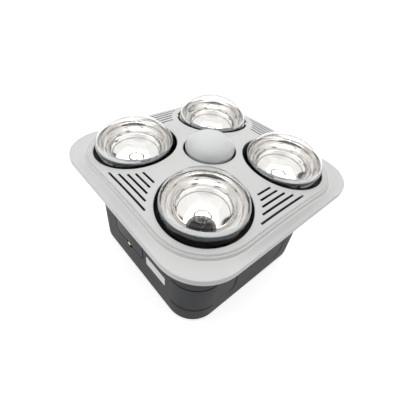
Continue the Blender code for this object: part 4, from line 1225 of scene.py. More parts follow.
@dataclass(frozen=True)
class Bulb:
    """The shapes of a blown bulb on a screw cap, round its own axis."""

    radius: float
    equator: float
    dome: float
    bowl: float
    neck: float
    tip: float
    glass: float = 0.0012
    cap_radius: float = 0.0132
    cap_length: float = 0.030
    cap_grip: float = 0.006
    throat: float = 0.01177
    fillet: float = 0.004
    filament_height: float = 0.183
    filament_radius: float = 0.012
    filament_ends: Point = (math.radians(30), math.radians(330))
    coil_radius: float = 0.0011
    coil_pitch: float = 0.00095
    coil_steps: int = 10
    # Negative: the painted shade on the coat's back reaches this far above the widest ring
    painted_shade_drop: float = -0.0050
    steps: int = 128

    def outline(self, inset: float, low: float = 0.0) -> Profile:
        """Points up the bulb from its throat to the top of its dome.

        Args:
            inset: how far the points lie inside the glass's outer face.
            low: the height at which the outline starts, or 0 for the throat.

        Returns:
            The points.
        """
        bowl_steps, dome_steps = 40, 28
        cap_top = self.tip + self.cap_length
        radius, depth, neck = self.radius - inset, self.bowl - inset, self.neck - inset
        join = neck + self.fillet
        necks = [(reach, self.equator - depth * math.sqrt(1 - (reach / radius) ** 2))
                 for reach in (neck, join)]
        points = rounded([(self.throat - inset, cap_top - self.cap_grip),
                          (self.throat - inset, cap_top + 0.3 * MM),
                          (neck, cap_top + self.neck - self.throat), *necks], self.fillet, 6)
        start = math.acos(join / radius)
        for step in range(1, bowl_steps):
            angle = start * (1 - step / bowl_steps)
            points.append((radius * math.cos(angle), self.equator - depth * math.sin(angle)))
        for step in range(dome_steps):
            angle = QUARTER * step / dome_steps
            points.append((radius * math.cos(angle),
                           self.equator + (self.dome - inset) * math.sin(angle)))
        points.append((0.0, self.equator + self.dome - inset))
        return [p for p in points if p[1] >= low]

    def envelope(self) -> BMesh:
        """The hollow glass, open at its throat."""
        return turned(self.outline(0.0) + list(reversed(self.outline(self.glass))), self.steps)

    def coat(self, low: float, rise: float) -> BMesh:
        """The coat inside the glass: its mirror side, its back, and low on its back a near-black
        painted shade.

        Args:
            low: the height at which the coat starts.
            rise: how far it goes past the bulb's widest ring.

        Returns:
            The body, with a material index for each of the three.
        """
        outer, inner = ([p for p in self.outline(inset, low) if p[1] <= self.equator + rise]
                        for inset in (self.glass + 0.1 * MM, self.glass + 0.4 * MM))
        bm = turned(outer + list(reversed(inner)), self.steps)
        for face in bm.faces:
            centre = face.calc_center_median()
            if face.normal.dot(Vector((centre.x, centre.y, 0.0))) > 0:
                # Back faces below the line take the near-black painted shade, index 2
                face.material_index = 1 if centre.z > self.equator - self.painted_shade_drop else 2
        return bm

    def cap(self) -> BMesh:
        """The screw cap with its rolled thread and its contact.

        Returns:
            The cap, on the Z axis.
        """
        low, wall, steps = self.tip, 0.7 * MM, 40
        top = low + self.cap_length
        start, pitch, depth = low + 7.7 * MM, 3.6 * MM, 0.55 * MM
        thread = []
        for step in range(steps + 1):
            height = start + (top - 3 * MM - start) * step / steps
            wave = 0.5 - 0.5 * math.cos(math.tau * (height - start) / pitch)
            thread.append((self.cap_radius - depth * wave, height))
        outer = raised(((0.0, 0.0), (3.0, 0.0), (4.5, 0.6), (4.5, 1.4)), low)
        outer += [(self.cap_radius - 1.4 * MM, low + 7 * MM), *thread, (self.cap_radius, top)]
        inner = [(r - wall, z) for r, z in reversed(thread)]
        profile = outer + [(self.cap_radius - wall, top)] + inner + [(0.0, low + 7 * MM)]
        return turned(profile, 64)

    def holder(self) -> BMesh:
        """The porcelain lampholder round the cap.

        Returns:
            The holder, on the Z axis.
        """
        top, seat = self.tip + self.cap_length - 1.5 * MM, self.tip - 15.3 * MM
        body, collar, bore, floor = 20.5 * MM, 22.2 * MM, 14.2 * MM, self.tip - 0.3 * MM
        outer = [(0.0, seat), (body, seat), (body, top - 12 * MM), (collar, top - 12 * MM),
                 (collar, top), (bore, top)]
        return turned(rounded(outer, 1.8 * MM, 4) + [(bore, floor), (0.0, floor)], 64)

    def stem(self) -> BMesh:
        """The glass mount inside the neck, flared at its foot and pinched on top.

        Returns:
            The stem, on the Z axis.
        """
        table = ((0.0, 0.1), (10.1, 0.1), (9.6, 2.0), (5.6, 9.0), (4.8, 16.0), (4.8, 50.0),
                 (3.4, 56.0), (0.0, 57.8))
        low = self.tip + self.cap_length - self.cap_grip
        return turned(rounded(raised(table, low), 3 * MM, 4), 48)

    def leads(self, x: float, y: float) -> list[list[Vector]]:
        """Paths of the two leads and the four supports, from the stem to the filament.

        Args:
            x: the bulb's axis on X.
            y: the bulb's axis on Y.

        Returns:
            A path for each wire.
        """
        foot, top, reach = self.tip + 78.0 * MM, self.filament_height, self.filament_radius
        paths = []
        for degrees in range(30, 360, 60):
            angle = math.radians(degrees)
            start = (1.6 if degrees in (30, 330) else 0.7) * MM
            across = Vector((math.cos(angle), math.sin(angle), 0.0))
            knots = [Vector((x, y, 0.0)) + across * r + Vector((0.0, 0.0, z)) for r, z in (
                (start, foot), (start, foot + 8.0 * MM), (reach * 0.55, top - 12.0 * MM),
                (reach * 0.98, top - 3.0 * MM), (reach, top + 0.4 * MM))]
            paths.append(smooth_path(knots))
        return paths

    def filament(self, x: float, y: float) -> list[Vector]:
        """Path of the coiled filament, round the axis from one lead to the other.

        Args:
            x: the bulb's axis on X.
            y: the bulb's axis on Y.

        Returns:
            The path's points.
        """
        start, end = self.filament_ends
        turns = int((end - start) * self.filament_radius / self.coil_pitch)
        count = turns * self.coil_steps
        made = []
        for step in range(count + 1):
            angle = start + (end - start) * step / count
            twist = math.tau * step / self.coil_steps
            reach = self.filament_radius + self.coil_radius * math.cos(twist)
            made.append(Vector((x + reach * math.cos(angle), y + reach * math.sin(angle),
                                self.filament_height + self.coil_radius * math.sin(twist))))
        return made


@dataclass
class HeatLamps:
    """The four infrared lamps: clear domes over silvered bowls."""

    bulb: Bulb = Bulb(radius=0.0625, equator=0.2074, dome=0.0416, bowl=0.051, neck=0.018,
                      tip=0.068)
    pitch: float = 0.085
    coat_rise: float = 0.0120
    coat_low: float = 0.1612
    lead_gauge: float = 0.0004
    filament_gauge: float = 0.00022

    def build(self) -> None:
        """Builds each lamp with its coat, cap, mount and wires, and its holder."""
        bulb = self.bulb
        for number, (sx, sy) in enumerate(((1, -1), (-1, -1), (1, 1), (-1, 1)), 1):
            x, y, body = sx * self.pitch, sy * self.pitch, f"lamp_{number}"
            piece(f"lamp_envelope_{number}", shifted(bulb.envelope(), x, y), HARD_GLASS, body,
                  "lamp_glass", f"lamp_glass_{number}")
            coat = shifted(bulb.coat(self.coat_low, self.coat_rise), x, y)
            # The coat's third finish is painted shade on its lower back
            settle(as_object(f"lamp_mirror_{number}", coat, SILVER_COAT, SILVER_BACK,
                             PAINTED_SHADE_COAT), body, "lamp_cap")
            piece(f"lamp_screw_cap_{number}", shifted(bulb.cap(), x, y), NICKEL_PLATE, body,
                  "lamp_cap", f"lamp_cap_{number}")
            piece(f"lamp_mount_{number}", shifted(bulb.stem(), x, y), HARD_GLASS, body,
                  "lamp_glass", f"lamp_stem_{number}")
            settle(wire(f"lamp_leads_{number}", NICKEL_PLATE, self.lead_gauge,
                        *bulb.leads(x, y)), body, "lamp_cap")
            settle(wire(f"lamp_filament_{number}", TUNGSTEN, self.filament_gauge,
                        bulb.filament(x, y), sides=5), body, "lamp_cap")
            piece(f"lamp_socket_{number}", shifted(bulb.holder(), x, y), PORCELAIN, Body.ROOT,
                  "porcelain", f"lampholder_{number}")


@dataclass
class CentreLight:
    """The opal globe in the middle, with its cap and its holder."""

    bulb: Bulb = Bulb(radius=0.0398, equator=0.2187, dome=0.0224, bowl=0.029, neck=0.0145,
                      tip=0.1271)

    def build(self) -> None:
        """Builds the globe, its cap and its holder."""
        piece("light_globe", self.bulb.envelope(), OPAL_GLASS, Body.LIGHT, "opal_glass",
              "light_glass")
        piece("light_screw_cap", self.bulb.cap(), NICKEL_PLATE, Body.LIGHT, "lamp_cap",
              "light_cap")
        piece("light_socket", self.bulb.holder(), PORCELAIN, Body.ROOT, "porcelain",
              "light_holder")


# ---------------------------------------------------- shield, cup and brackets

def pan_screw(head: float = 3.6 * MM, shank: float = 1.7 * MM, length: float = 10 * MM,
              high: float = 1.8 * MM) -> BMesh:
    """A pan-head screw with a cross recess, its seat at the origin and its head up.

    Args:
        head: the head's radius.
        shank: the shank's radius.
        length: the shank's length.
        high: the head's height.

    Returns:
        The screw.
    """
    root, pitch, recess = shank - 0.35 * MM, 1.4 * MM, 1.0 * MM
    profile = [(0.0, -length), (root * 0.5, -length + 0.6 * MM)]
    depth = -length + 1.6 * MM
    while depth < -pitch:
        profile += [(root, depth), (shank, depth + pitch * 0.5)]
        depth += pitch
    profile += [(root, -0.6 * MM), (root, 0.0)]
    profile += [(head * r, high * z) for r, z in (
        (1.0, 0.0), (1.0, 0.35), (0.93, 0.62), (0.74, 0.86), (0.5, 0.97), (0.0, 1.0))]
    screw = as_object("screw", turned(profile, 24))
    for angle in (0.0, QUARTER):
        arm = prism(box(-head * 0.55, head * 0.55, -0.45 * MM, 0.45 * MM), high - recess,
                    high + recess)
        carve(screw, moved(arm, Matrix.Rotation(angle, 4, "Z")))
    made = bmesh.new()
    made.from_mesh(screw.data)
    bpy.data.objects.remove(screw, do_unlink=True)
    return made


@dataclass
class HeatShield:
    """The black plate under the fascia, with its fixing tabs."""

    half: float = 0.1415
    corner: float = 0.0445
    low: float = 0.176
    high: float = 0.1772
    pitch: float = 0.085
    lamp_hole: float = 0.0519
    cup_hole: float = 0.0443
    clip_x: float = 0.080
    clip_slot: Point = (0.007, 0.013)
    overrun: float = 0.004
    tab_offsets: Point = (-0.033, 0.033)
    tab_foot: float = 0.007
    tab_rise: float = 0.0062
    tab_half: float = 0.004
    tab_inset: float = 0.0006
    tab_screw: float = 0.0026
    sheet: float = 0.0008

    def build(self) -> None:
        """Builds the plate with its openings, and the tabs with their screws."""
        # The plate's near-black enamel is also painted shade for the gap round each lamp
        plate = as_object("shield_plate", prism(rounded_square(self.half, self.corner),
                                                self.low, self.high), BLACK_ENAMEL_AND_SHADE)
        wide, deep = self.clip_slot
        outlines = [disc(self.lamp_hole, 96, sx * self.pitch, sy * self.pitch)
                    for sx in (-1, 1) for sy in (-1, 1)]
        outlines.append(disc(self.cup_hole, 96))
        outlines += [box(x - wide, x + wide, -deep, deep) for x in (-self.clip_x, self.clip_x)]
        tool = bmesh.new()
        for outline in outlines:
            merge_into(tool, prism(outline, self.low - self.overrun, self.high + self.overrun))
        carve(plate, tool)
        settle(plate, Body.ROOT, "black_enamel", "heat_shield", soft=0.25 * MM)
        self.tabs()

    def tabs(self) -> None:
        """Builds the folded tabs that hold the plate's edge down, and their screws."""
        foot, rise, sheet = self.tab_foot, self.tab_rise, self.sheet
        outline = [(0.0, 0.0), (foot, 0.0), (foot, rise), (foot - sheet, rise),
                   (foot - sheet, sheet), (0.0, sheet)]
        tab = moved(prism(outline, -self.tab_half, self.tab_half), FACING_BACK)
        places, seats = [], []
        for angle in WALL_ANGLES:
            rotation = Matrix.Rotation(angle, 4, "Z")
            for offset in self.tab_offsets:
                place = Vector((self.half - foot - self.tab_inset, offset, self.high))
                places.append(rotation @ Matrix.Translation(place))
                place += Vector((self.tab_screw, 0.0, sheet))
                seats.append(rotation @ Matrix.Translation(place))
        settle(copies("shield_tabs", ZINC_STEEL, tab, places), Body.ROOT, "zinc_steel")
        screw = pan_screw(2.3 * MM, 1.1 * MM, 5 * MM, 1.2 * MM)
        settle(copies("shield_screws", ZINC_STEEL, screw, seats), Body.ROOT, "zinc_steel")


@dataclass
class LightCup:
    """The spun black cup below the centre light."""

    floor: float = 0.1105
    foot: float = 0.024
    radius: float = 0.044
    bend: float = 0.170
    top: float = 0.1775
    flange: float = 0.006
    wall: float = 0.001

    def build(self) -> None:
        """Builds the cup."""
        wall, top, brim = self.wall, self.top, self.radius + self.flange
        outer = [(0.0, self.floor), (self.foot, self.floor), (self.radius, self.bend),
                 (self.radius, top), (brim, top)]
        inner = [(brim, top + wall), (self.radius - wall, top + wall),
                 (self.radius - wall, self.bend), (self.foot - wall, self.floor + wall),
                 (0.0, self.floor + wall)]
        profile = rounded(outer, 2.4 * MM, 5) + rounded(inner, 2.0 * MM, 5)
        # The cup's near-black enamel is also painted shade for the gap round the globe
        piece("light_cup_spun", turned(profile), BLACK_ENAMEL_AND_SHADE, Body.ROOT, "black_enamel",
              "light_cup")


@dataclass
class SheetParts:
    """The folded steel straps and spring clips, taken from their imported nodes."""

    strap_round: float = 0.00045
    clip_round: float = 0.0003

    def build(self) -> None:
        """Builds the four straps below the holders and the two spring clips."""
        for number in range(1, 5):
            node = f"holder_bracket_{number}"
            settle(merged_copy(node, f"lamp_strap_{number}", ZINC_STEEL), Body.ROOT,
                   "zinc_steel", node, soft=self.strap_round)
        for side in ("left", "right"):
            node = f"fascia_clip_{side}"
            settle(merged_copy(node, f"spring_clip_{side}", ZINC_STEEL), Body.FASCIA,
                   "zinc_steel", node, soft=self.clip_round)


# ---------------------------------------------------------------------- blower

@dataclass
class Blower:
    """The exhaust blower: scroll, base plate, motor, bladed drum and capacitor."""

    x: float = -0.014
    y: float = -0.008
    spiral: Point = (0.050, 0.072)
    spiral_steps: int = 96
    outlet: Point = (0.004, 0.058)
    outlet_end: float = 0.1422
    low: float = 0.0358
    high: float = 0.0978
    wall: float = 0.002
    inlet: float = 0.036
    base: Point = (0.034, 0.0355)
    base_margin: float = 0.004
    ears: tuple[Point, ...] = ((-0.04353, 0.04753), (-0.08173, -0.0080), (-0.0140, -0.08274),
                               (0.06775, -0.0080))
    ear_radius: float = 0.0075
    hole: float = 0.0020
    motor_low: float = 0.0067
    motor_top: float = 0.0337
    motor_radius: float = 0.032
    motor_boss: float = 0.009
    motor_bore: float = 0.0223
    rib_count: int = 36
    rib: Point = (0.0012, 0.0045)
    shaft: float = 0.003
    shaft_foot: float = 0.022
    fan_low: float = 0.040
    fan_height: float = 0.049
    fan_radius: float = 0.046
    fan_ring: float = 0.010
    fan_sheet: float = 0.0015
    hub: Point = (0.009, 0.014)
    blades: int = 24
    blade: float = 0.0010
    blade_steps: int = 12
    sweep: float = math.radians(14)
    bow: float = 0.0022
    webs: int = 6
    web: Triple = (0.014, 0.0006, 0.005)
    capacitor: Triple = (-0.026, -0.121, 0.0028)
    capacitor_half: Point = (0.019, 0.011)
    capacitor_height: float = 0.030
    blade_half: Point = (0.0031, 0.0004)
    blade_reach: Triple = (0.008, -0.002, 0.007)

    def outline(self, grow: float, end: float) -> Profile:
        """The spiral and its outlet, grown by a wall, up to an end on Y.

        Args:
            grow: the wall's thickness, or 0 for the inside.
            end: where the outlet ends on Y.

        Returns:
            The closed outline.
        """
        left = self.outlet[0] - grow
        begin, finish = self.spiral
        start = math.acos((left - self.x) / (begin + grow))
        points = []
        for step in range(self.spiral_steps + 1):
            share = step / self.spiral_steps
            angle = start + (math.tau - start) * share
            reach = begin + grow + (finish - begin) * share
            points.append((self.x + reach * math.cos(angle), self.y + reach * math.sin(angle)))
        return points + [(self.outlet[1] + grow, end), (left, end)]

    def on_axis(self, profile: Profile, steps: int = 96) -> BMesh:
        """Revolves a closed profile round the fan's axis."""
        return shifted(turned(profile, steps), self.x, self.y)

    def build(self) -> None:
        """Builds the scroll, the plate, the motor, the drum, the capacitor and the screws."""
        self.scroll()
        self.plate()
        self.motor()
        self.drum()
        self.capacitor_box()
        seats = [Matrix.Translation((x, y, self.base[1])) for x, y in self.ears]
        settle(copies("blower_screws", ZINC_STEEL, pan_screw(), seats), Body.ROOT, "zinc_steel",
               *(f"blower_screw_{number}" for number in range(1, 5)))

    def scroll(self) -> None:
        """Builds the spiral wall with a bell mouth at its inlet."""
        end, over, high, inlet = self.outlet_end, 4 * MM, self.high, self.inlet
        scroll = as_object("scroll_shell", prism(self.outline(self.wall, end), self.low, high),
                           FAN_NYLON)
        carve(scroll, prism(self.outline(0.0, end + over), self.low - over, high - self.wall))
        mouth = inlet + 3.2 * MM
        carve(scroll, self.on_axis(box(0.0, mouth, high - over, high + over)))
        bell = [(mouth + 0.6 * MM, high - 0.2 * MM), (mouth - 0.6 * MM, high - 0.2 * MM),
                (inlet + 0.8 * MM, high - 1.6 * MM), (inlet + 0.2 * MM, high - 4.2 * MM),
                (inlet + 1.4 * MM, high - 4.2 * MM), (inlet + 2.0 * MM, high - 2.0 * MM),
                (mouth + 0.6 * MM, high - 1.4 * MM)]
        carve(scroll, self.on_axis(bell), joins=True)
        settle(scroll, Body.ROOT, "fan_plastic", "blower_scroll", soft=0.5 * MM)

    def plate(self) -> None:
        """Builds the base plate with an ear at each screw."""
        (low, high), over = self.base, 3 * MM
        plate = as_object("blower_plate", prism(
            self.outline(self.wall + self.base_margin, self.outlet_end), low, high), ZINC_STEEL)
        ears, holes = bmesh.new(), bmesh.new()
        for x, y in self.ears:
            merge_into(ears, prism(disc(self.ear_radius, 40, x, y), low, high))
            merge_into(holes, prism(disc(self.hole, 24, x, y), low - over, high + over))
        merge_into(holes, prism(disc(self.motor_boss + 0.5 * MM, 48, self.x, self.y), low - over,
                                high + over))
        carve(plate, ears, joins=True)
        carve(plate, holes)
        settle(plate, Body.ROOT, "zinc_steel", "blower_base", soft=0.3 * MM)

    def motor(self) -> None:
        """Builds the motor with the ribs round its can, and its shaft."""
        low, top, boss, bore = self.motor_low, self.motor_top, self.motor_boss, self.shaft + .3 * MM
        reach, (proud, ends) = self.motor_radius, self.rib
        body = reach - proud
        neck = self.base[1] + 0.3 * MM
        outer = rounded([(0.0, low + 1.4 * MM), (7 * MM, low + 1.4 * MM), (8 * MM, low),
                         (body, low), (body, top), (16 * MM, top), (15 * MM, top - 1.0 * MM),
                         (boss, top - 1.0 * MM), (boss, neck), (bore, neck)], 2.2 * MM, 5)
        depth = top - self.motor_bore
        piece("motor_can", self.on_axis(outer + [(bore, depth), (0.0, depth)]), MOTOR_ENAMEL,
              Body.ROOT, "motor_enamel", "fan_motor")
        side = [(body - 0.5 * MM, 0.7 * MM), (reach - 0.3 * MM, 0.7 * MM), (reach, 0.4 * MM)]
        rib = prism([(r, -half) for r, half in side] + side[::-1], low + ends, top - ends)
        settle(ringed("motor_ribs", rib, MOTOR_ENAMEL, self.rib_count, self.x, self.y),
               Body.ROOT, "motor_enamel")
        rod = box(0.0, self.shaft, top - self.shaft_foot, self.fan_low + self.hub[1] + self.shaft)
        piece("motor_shaft", self.on_axis(rounded(rod, 0.5 * MM), 32), ZINC_STEEL, Body.FAN,
              "zinc_steel", "fan_shaft")

    def blade_outline(self) -> Profile:
        """One forward-curved blade between the inner and the outer edge of the ring.

        Returns:
            The closed outline.
        """
        inner = self.fan_radius - self.fan_ring + self.blade
        outer = self.fan_radius - self.blade
        front, back = [], []
        for step in range(self.blade_steps + 1):
            share = step / self.blade_steps
            reach = inner + (outer - inner) * share
            swing = self.sweep * share + self.bow / reach * math.sin(math.pi * share)
            half = self.blade / 2 / reach
            front.append((reach * math.cos(swing + half), reach * math.sin(swing + half)))
            back.append((reach * math.cos(swing - half), reach * math.sin(swing - half)))
        return back + list(reversed(front))

    def drum(self) -> None:
        """Builds the drum wheel: a webbed backplate with its hub, a ring and the blades."""
        low, sheet, radius = self.fan_low, self.fan_sheet, self.fan_radius
        top, bore = low + self.fan_height, self.shaft + 0.2 * MM
        hub, hub_high = self.hub[0], low + self.hub[1]
        wheel = self.on_axis(rounded([(bore, low), (radius, low), (radius, low + sheet),
                                      (hub + 1.5 * MM, low + sheet), (hub, hub_high),
                                      (bore, hub_high)], 0.7 * MM))
        rim = rounded(box(radius - self.fan_ring, radius, top - sheet, top), 0.4 * MM)
        piece("impeller_wheel", merge_into(wheel, self.on_axis(rim)), FAN_NYLON, Body.FAN,
              "fan_plastic", "fan_impeller")
        foot, (length, half, rise) = low + sheet / 2, self.web
        blade = prism(self.blade_outline(), foot, top - sheet / 2)
        web = prism(box(hub - 1.5 * MM, hub + length, -half, half), foot, low + rise)
        for name, item, count in (("impeller_blades", blade, self.blades),
                                  ("impeller_webs", web, self.webs)):
            settle(ringed(name, item, FAN_NYLON, count, self.x, self.y), Body.FAN, "fan_plastic")

    def capacitor_box(self) -> None:
        """Builds the capacitor with its potted top and its two blade terminals."""
        (x, y, low), (wide, deep), rim = self.capacitor, self.capacitor_half, 2 * MM
        high = low + self.capacitor_height
        case = as_object("capacitor_box", prism(round_box(x, y, wide, deep, 3 * MM, 8), low, high),
                         TERMINAL_NYLON)
        carve(case, prism(box(x - wide + rim, x + wide - rim, y - deep + rim, y + deep - rim),
                          high - 0.7 * MM, high + MM))
        settle(case, Body.ROOT, "terminal_plastic", "fan_capacitor", soft=0.6 * MM)
        tabs = bmesh.new()
        (half, thick), (apart, foot, tip) = self.blade_half, self.blade_reach
        for side in (-1, 1):
            blade = prism(box(-half, half, -thick, thick), high + foot, high + tip)
            merge_into(tabs, shifted(blade, x + side * apart, y))
        piece("capacitor_tabs", tabs, ZINC_STEEL, Body.ROOT, "zinc_steel", soft=0.2 * MM)


# ------------------------------------------------------------- duct and damper

@dataclass
class Duct:
    """The round spigot with its butterfly damper."""

    x: float = 0.031
    z: float = 0.0668
    wall_face: float = 0.1453
    radius: float = 0.050
    bore: float = 0.048
    flange: float = 0.060
    flange_thickness: float = 0.0025
    end: float = 0.178
    bead: float = 0.0010
    bead_back: float = 0.006
    bead_half: float = 0.002
    bead_steps: int = 12
    screw_ring: float = 0.055
    screw_hole: float = 0.002
    damper_y: float = 0.1545
    flap: float = 0.0465
    sheet: float = 0.0012
    pin: float = 0.0015
    pin_play: float = 0.0004
    play: float = 0.0003
    sleeve: float = 0.0028
    sleeve_low: float = 0.004
    sleeve_high: float = 0.036

    def screw_places(self) -> list[Matrix]:
        """Where the spigot's screws sit, with their heads outwards.

        Returns:
            A matrix for each screw.
        """
        made = []
        for index in range(4):
            angle = QUARTER * (index + 0.5)
            place = Vector((self.screw_ring * math.cos(angle), self.screw_ring * math.sin(angle),
                            self.wall_face + self.flange_thickness))
            made.append(self.axis() @ Matrix.Translation(place))
        return made

    def axis(self) -> Matrix:
        """Lays an upright piece along the duct."""
        return Matrix.Translation((self.x, 0.0, self.z)) @ Matrix.Rotation(-QUARTER, 4, "X")

    def build(self) -> None:
        """Builds the spigot, its damper and its screws."""
        self.spigot()
        self.damper()
        settle(copies("spigot_screws", ZINC_STEEL, pan_screw(), self.screw_places()), Body.ROOT,
               "zinc_steel", *(f"spigot_screw_{number}" for number in range(1, 5)))

    def spigot(self) -> None:
        """Builds the collar with its flange, its bead and its screw holes."""
        low, radius, high, half = self.wall_face, self.radius, self.end, self.bead_half
        bead, face = high - self.bead_back, low + self.flange_thickness
        outer = [(self.bore, low), (self.flange, low), (self.flange, face), (radius, face),
                 (radius, bead - half)]
        for step in range(1, self.bead_steps):
            share = step / self.bead_steps
            outer.append((radius + self.bead * math.sin(math.pi * share) ** 2,
                          bead + half * (2 * share - 1)))
        outer += [(radius, bead + half), (radius, high), (self.bore, high)]
        body = turned(rounded(outer, 0.7 * MM), 128)
        spigot = as_object("duct_collar", moved(body, self.axis()), CHARCOAL_TUB)
        holes = bmesh.new()
        for place in self.screw_places():
            merge_into(holes, moved(prism(disc(self.screw_hole, 24), -6 * MM, 4 * MM), place))
        carve(spigot, holes)
        settle(spigot, Body.ROOT, "housing_plastic", "duct_spigot")

    def damper(self) -> None:
        """Builds the pin and the two half-round flaps with their sleeves."""
        reach = self.bore - self.play
        rod = rounded(box(0.0, self.pin, self.z - reach, self.z + reach), 0.4 * MM)
        piece("damper_rod", shifted(turned(rod, 24), self.x, self.damper_y), ZINC_STEEL,
              Body.ROOT, "zinc_steel", "damper_pin")
        clear, bore = self.sleeve + self.play, self.pin + self.pin_play
        limit = math.acos(clear / self.flap)
        joint = (bore + self.sleeve) / 2
        for side, body in ((-1, Body.DAMPER_LEFT), (1, Body.DAMPER_RIGHT)):
            low, high = sorted((-side * self.sleeve_low, -side * self.sleeve_high))
            outline = arc(0.0, 0.0, self.flap, -limit, limit, 64)
            outline += [(clear, high), (joint, high), (joint, low), (clear, low)]
            outline = [(side * u, self.z + w) for u, w in outline]
            plate = moved(prism(outline, -self.sheet / 2, self.sheet / 2), FACING_BACK)
            flap = as_object(f"{body.value}_plate", shifted(plate, self.x, self.damper_y),
                             FAN_NYLON)
            tube = turned(box(bore, self.sleeve, self.z + low, self.z + high), 32)
            carve(flap, shifted(tube, self.x, self.damper_y), joins=True)
            settle(flap, body, "fan_plastic", f"damper_flap_{body.value.rsplit('_', 1)[1]}",
                   soft=0.25 * MM)


# ------------------------------------------------------------------- terminals

@dataclass
class Terminals:
    """The terminal box behind its flush cover, with its block, clamp and label."""

    housing: Housing
    x: float = -0.0245
    face: float = 0.145
    wall: float = 0.0025
    screw_z: float = 0.057
    hole: float = 0.0020
    ring: Point = (0.0034, 0.0050)
    ring_depth: float = 0.0014
    overrun: float = 0.002
    poles: int = 5
    pitch: float = 0.010
    entry: Triple = (0.0019, 0.007, 0.005)
    block_front: float = -0.128
    block_low: float = 0.087
    block_high: float = 0.105
    clamp_face: float = -0.1165
    clamp_z: float = 0.0705
    clamp_reach: float = 0.0115
    label_x: Point = (0.0295, 0.0808)
    label_z: Point = (0.058, 0.078)
    label_corner: float = 0.001
    label_proud: float = 0.00025
    label_sunk: float = 0.00005

    def build(self) -> None:
        """Builds the cover, what lies behind it and the label."""
        self.cover()
        self.inner()
        self.label()

    def facing_out(self, place: Sequence[float]) -> Matrix:
        """Lays an upright piece along -Y, with its seat at a place."""
        return Matrix.Translation(place) @ Matrix.Rotation(QUARTER, 4, "X")

    def cover(self) -> None:
        """Builds the flush cover and the brass screw in its tab."""
        outline = self.housing.cover_outline(-self.housing.cover_inset)
        plate = moved(prism(outline, self.face - self.wall, self.face), FACING_BACK)
        cover = as_object("cover_plate", plate, CHARCOAL_COVER)
        place = self.facing_out((self.x, -self.face, self.screw_z))
        carve(cover, moved(prism(disc(self.hole, 32), -2 * self.wall, self.overrun), place))
        ring = turned(box(*self.ring, -self.ring_depth, self.overrun), 32)
        carve(cover, moved(ring, place))
        settle(cover, Body.ROOT, "housing_plastic", "terminal_cover", soft=0.35 * MM)
        piece("brass_screw", moved(pan_screw(), place), BRASS, Body.ROOT, "brass", "cover_screw")

    def inner(self) -> None:
        """Builds the box, the block with its screws and the clamp with its own."""
        settle(merged_copy("terminal_box", "terminal_tray", FAN_NYLON), Body.ROOT,
               "housing_plastic", "terminal_box", soft=0.4 * MM)
        block = merged_copy("terminal_block", "terminal_strip", TERMINAL_NYLON)
        entries, places = bmesh.new(), []
        radius, back, half = self.entry
        for pole in range(self.poles):
            x = self.x + (pole - (self.poles - 1) / 2) * self.pitch
            for z, side in ((self.block_low, -1), (self.block_high, 1)):
                drill = disc(radius, 20, x, self.block_front + back)
                merge_into(entries, prism(drill, z - half, z + half))
                places.append(self.facing_out((x, self.block_front, z - side * half)))
        carve(block, entries)
        settle(block, Body.ROOT, "terminal_plastic", "terminal_block", soft=0.35 * MM)
        screw = pan_screw(2.2 * MM, 1.3 * MM, 6 * MM, 0.9 * MM)
        settle(copies("terminal_screws", BRASS, screw, places), Body.ROOT, "brass")
        settle(merged_copy("cord_clamp", "clamp_saddle", TERMINAL_NYLON), Body.ROOT,
               "terminal_plastic", "cord_clamp", soft=0.5 * MM)
        places = [self.facing_out((self.x + side * self.clamp_reach, self.clamp_face,
                                   self.clamp_z)) for side in (-1, 1)]
        screw = pan_screw(2.2 * MM, 1.3 * MM, 6 * MM, 1.2 * MM)
        settle(copies("clamp_screws", ZINC_STEEL, screw, places), Body.ROOT, "zinc_steel")

    def label(self) -> None:
        """Sticks the blank white label on the tub."""
        (left, right), (low, high) = self.label_x, self.label_z
        outline = round_box((left + right) / 2, (low + high) / 2, (right - left) / 2,
                            (high - low) / 2, self.label_corner, 5)
        sheet = prism(outline, self.face - self.label_sunk, self.face + self.label_proud)
        piece("blank_label", moved(sheet, FACING_BACK), LABEL_PAPER, Body.ROOT,
              "terminal_plastic")


# ---------------------------------------------------------------------- studio

